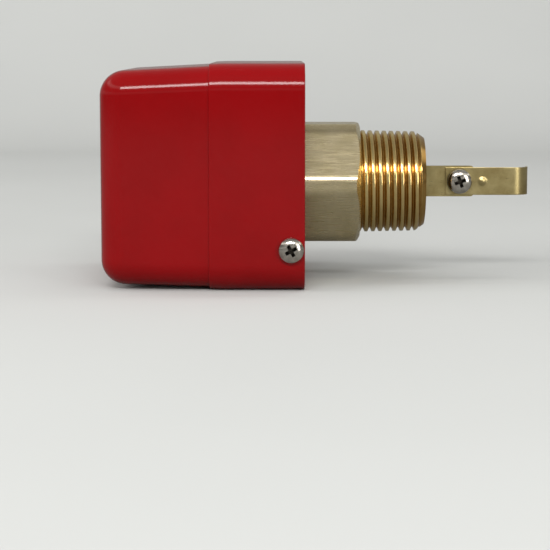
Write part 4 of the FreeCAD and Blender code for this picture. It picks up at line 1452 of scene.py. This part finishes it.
    def build(self) -> None:
        """Build the strip, its screw, lock washer and nut."""
        strip = combine(self.strip(), [self.hole()], Cut.REMOVE)
        keep(finish_mesh("hooked_paddle_strip", strip, [STRIP_BRASS]), "paddle_arm", "spring_brass",
             "paddle_strip")
        keep(finish_mesh("split_lock_washer", self.lock_washer(), [OILED_SPRING]), "paddle_arm",
             "dark_spring_steel", "paddle_lock_washer")
        keep(finish_mesh("strip_nut", self.nut(), [NICKEL_STEEL]), "paddle_arm", "nickel_steel",
             "paddle_nut")
        head = self.washer_low.y - self.screw_low.y
        length = self.screw_high.y - self.washer_low.y
        screw = CrossScrew(self.screw_radius, length, self.screw_high.z, head).mesh(self.screw_turn)
        bmesh.ops.transform(screw, matrix=laid((self.screw_x, self.washer_low.y, 0)), verts=screw.verts)
        keep(finish_mesh("strip_screw", screw, [NICKEL_STEEL, SHADED_RECESS]), "paddle_arm", "nickel_steel",
             "paddle_screw")


@dataclass
class RangeSpring:
    """Compression spring with closed ends that the switch's arm presses, built at the imported spring's
    length.
    """

    coil_radius: float = 4.0
    wire_radius: float = 0.45
    closed_rise: float = 0.95
    open_turns: float = 4.5
    section_sides: int = 12
    steps_per_turn: int = 32
    pressed_share: float = 0.78
    crease: float = 50.0

    def build(self) -> None:
        """Spin the wire's section along a closed coil, the open coils and a closed coil."""
        low, high = box_of("range_spring")
        open_rise = high.y - low.y - 2 * (self.wire_radius + self.closed_rise)
        bm = bmesh.new()
        bmesh.ops.create_circle(bm, cap_ends=False, radius=self.wire_radius, segments=self.section_sides,
                                matrix=laid((self.coil_radius, 0, self.wire_radius)))
        last = list(bm.verts) + list(bm.edges)
        for turns, rise in ((1, self.closed_rise), (self.open_turns, open_rise), (1, self.closed_rise)):
            steps = round(turns * self.steps_per_turn)
            last = bmesh.ops.spin(bm, geom=last, cent=(0, 0, 0), axis=(0, 0, 1),
                                  dvec=(0, 0, rise / steps), angle=math.tau * turns,
                                  steps=steps)["geom_last"]
        bmesh.ops.holes_fill(bm, edges=bm.edges, sides=self.section_sides)
        middle = (low.x + high.x) / 2
        bmesh.ops.transform(bm, matrix=laid((middle, low.y, 0), -1), verts=bm.verts)
        piece = finish_mesh("coiled_range_spring", bm, [OILED_SPRING], self.crease)
        keep(piece, "root", "dark_spring_steel", "range_spring")
        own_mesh(piece)


@dataclass
class PackedNodes:
    """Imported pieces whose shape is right, each with the finish of its real material."""

    finishes: dict[str, Finish] = field(default_factory=lambda: {
        "cast_zinc": CAST_ZINC, "black_rubber": NITRILE, "red_fibre": FIBRE, "brass": TURNED_BRASS,
        "bronze": BRONZE, "spring_brass": STRIP_BRASS, "phenolic": PHENOLIC, "red_button": RED_ACETAL,
        "pressboard": PRESSBOARD, "nylon": NYLON, "nickel_steel": NICKEL_STEEL,
        "dark_spring_steel": OILED_SPRING, "zinc_steel": ZINC_STEEL, "red_abs": RED_ABS,
        "label_film": LABEL_WHITE})
    by_name: dict[str, Finish] = field(default_factory=lambda: {"lever": STRIP_BRASS})

    def dress(self, nodes: dict[str, bpy.types.Object]) -> None:
        """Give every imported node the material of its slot.

        Args:
            nodes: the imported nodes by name.
        """
        for name, node in sorted(nodes.items()):
            for number, slot in enumerate(node.material_slots):
                finish = self.by_name.get(name) or self.finishes.get(slot.material.name.split(".")[0])
                if finish is None:
                    log.warning("%s has no finish for %s", name, slot.material.name)
                    continue
                node.material_slots[number].material = finish.material()
            log.info("%s dressed", name)


def main() -> None:
    """Build the studio and every sub-assembly, in order."""
    logging.basicConfig(level=logging.INFO, format="%(message)s")
    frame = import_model()
    bpy.context.view_layer.update()
    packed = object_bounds()
    Studio(floor=packed[0].z / MM).build()
    PackedNodes().dress(frame["nodes"])
    Cover().build()
    CoverScrews().build()
    Label().build()
    Fitting().build()
    Paddle().build()
    RangeSpring().build()


if __name__ == "__main__":
    main()
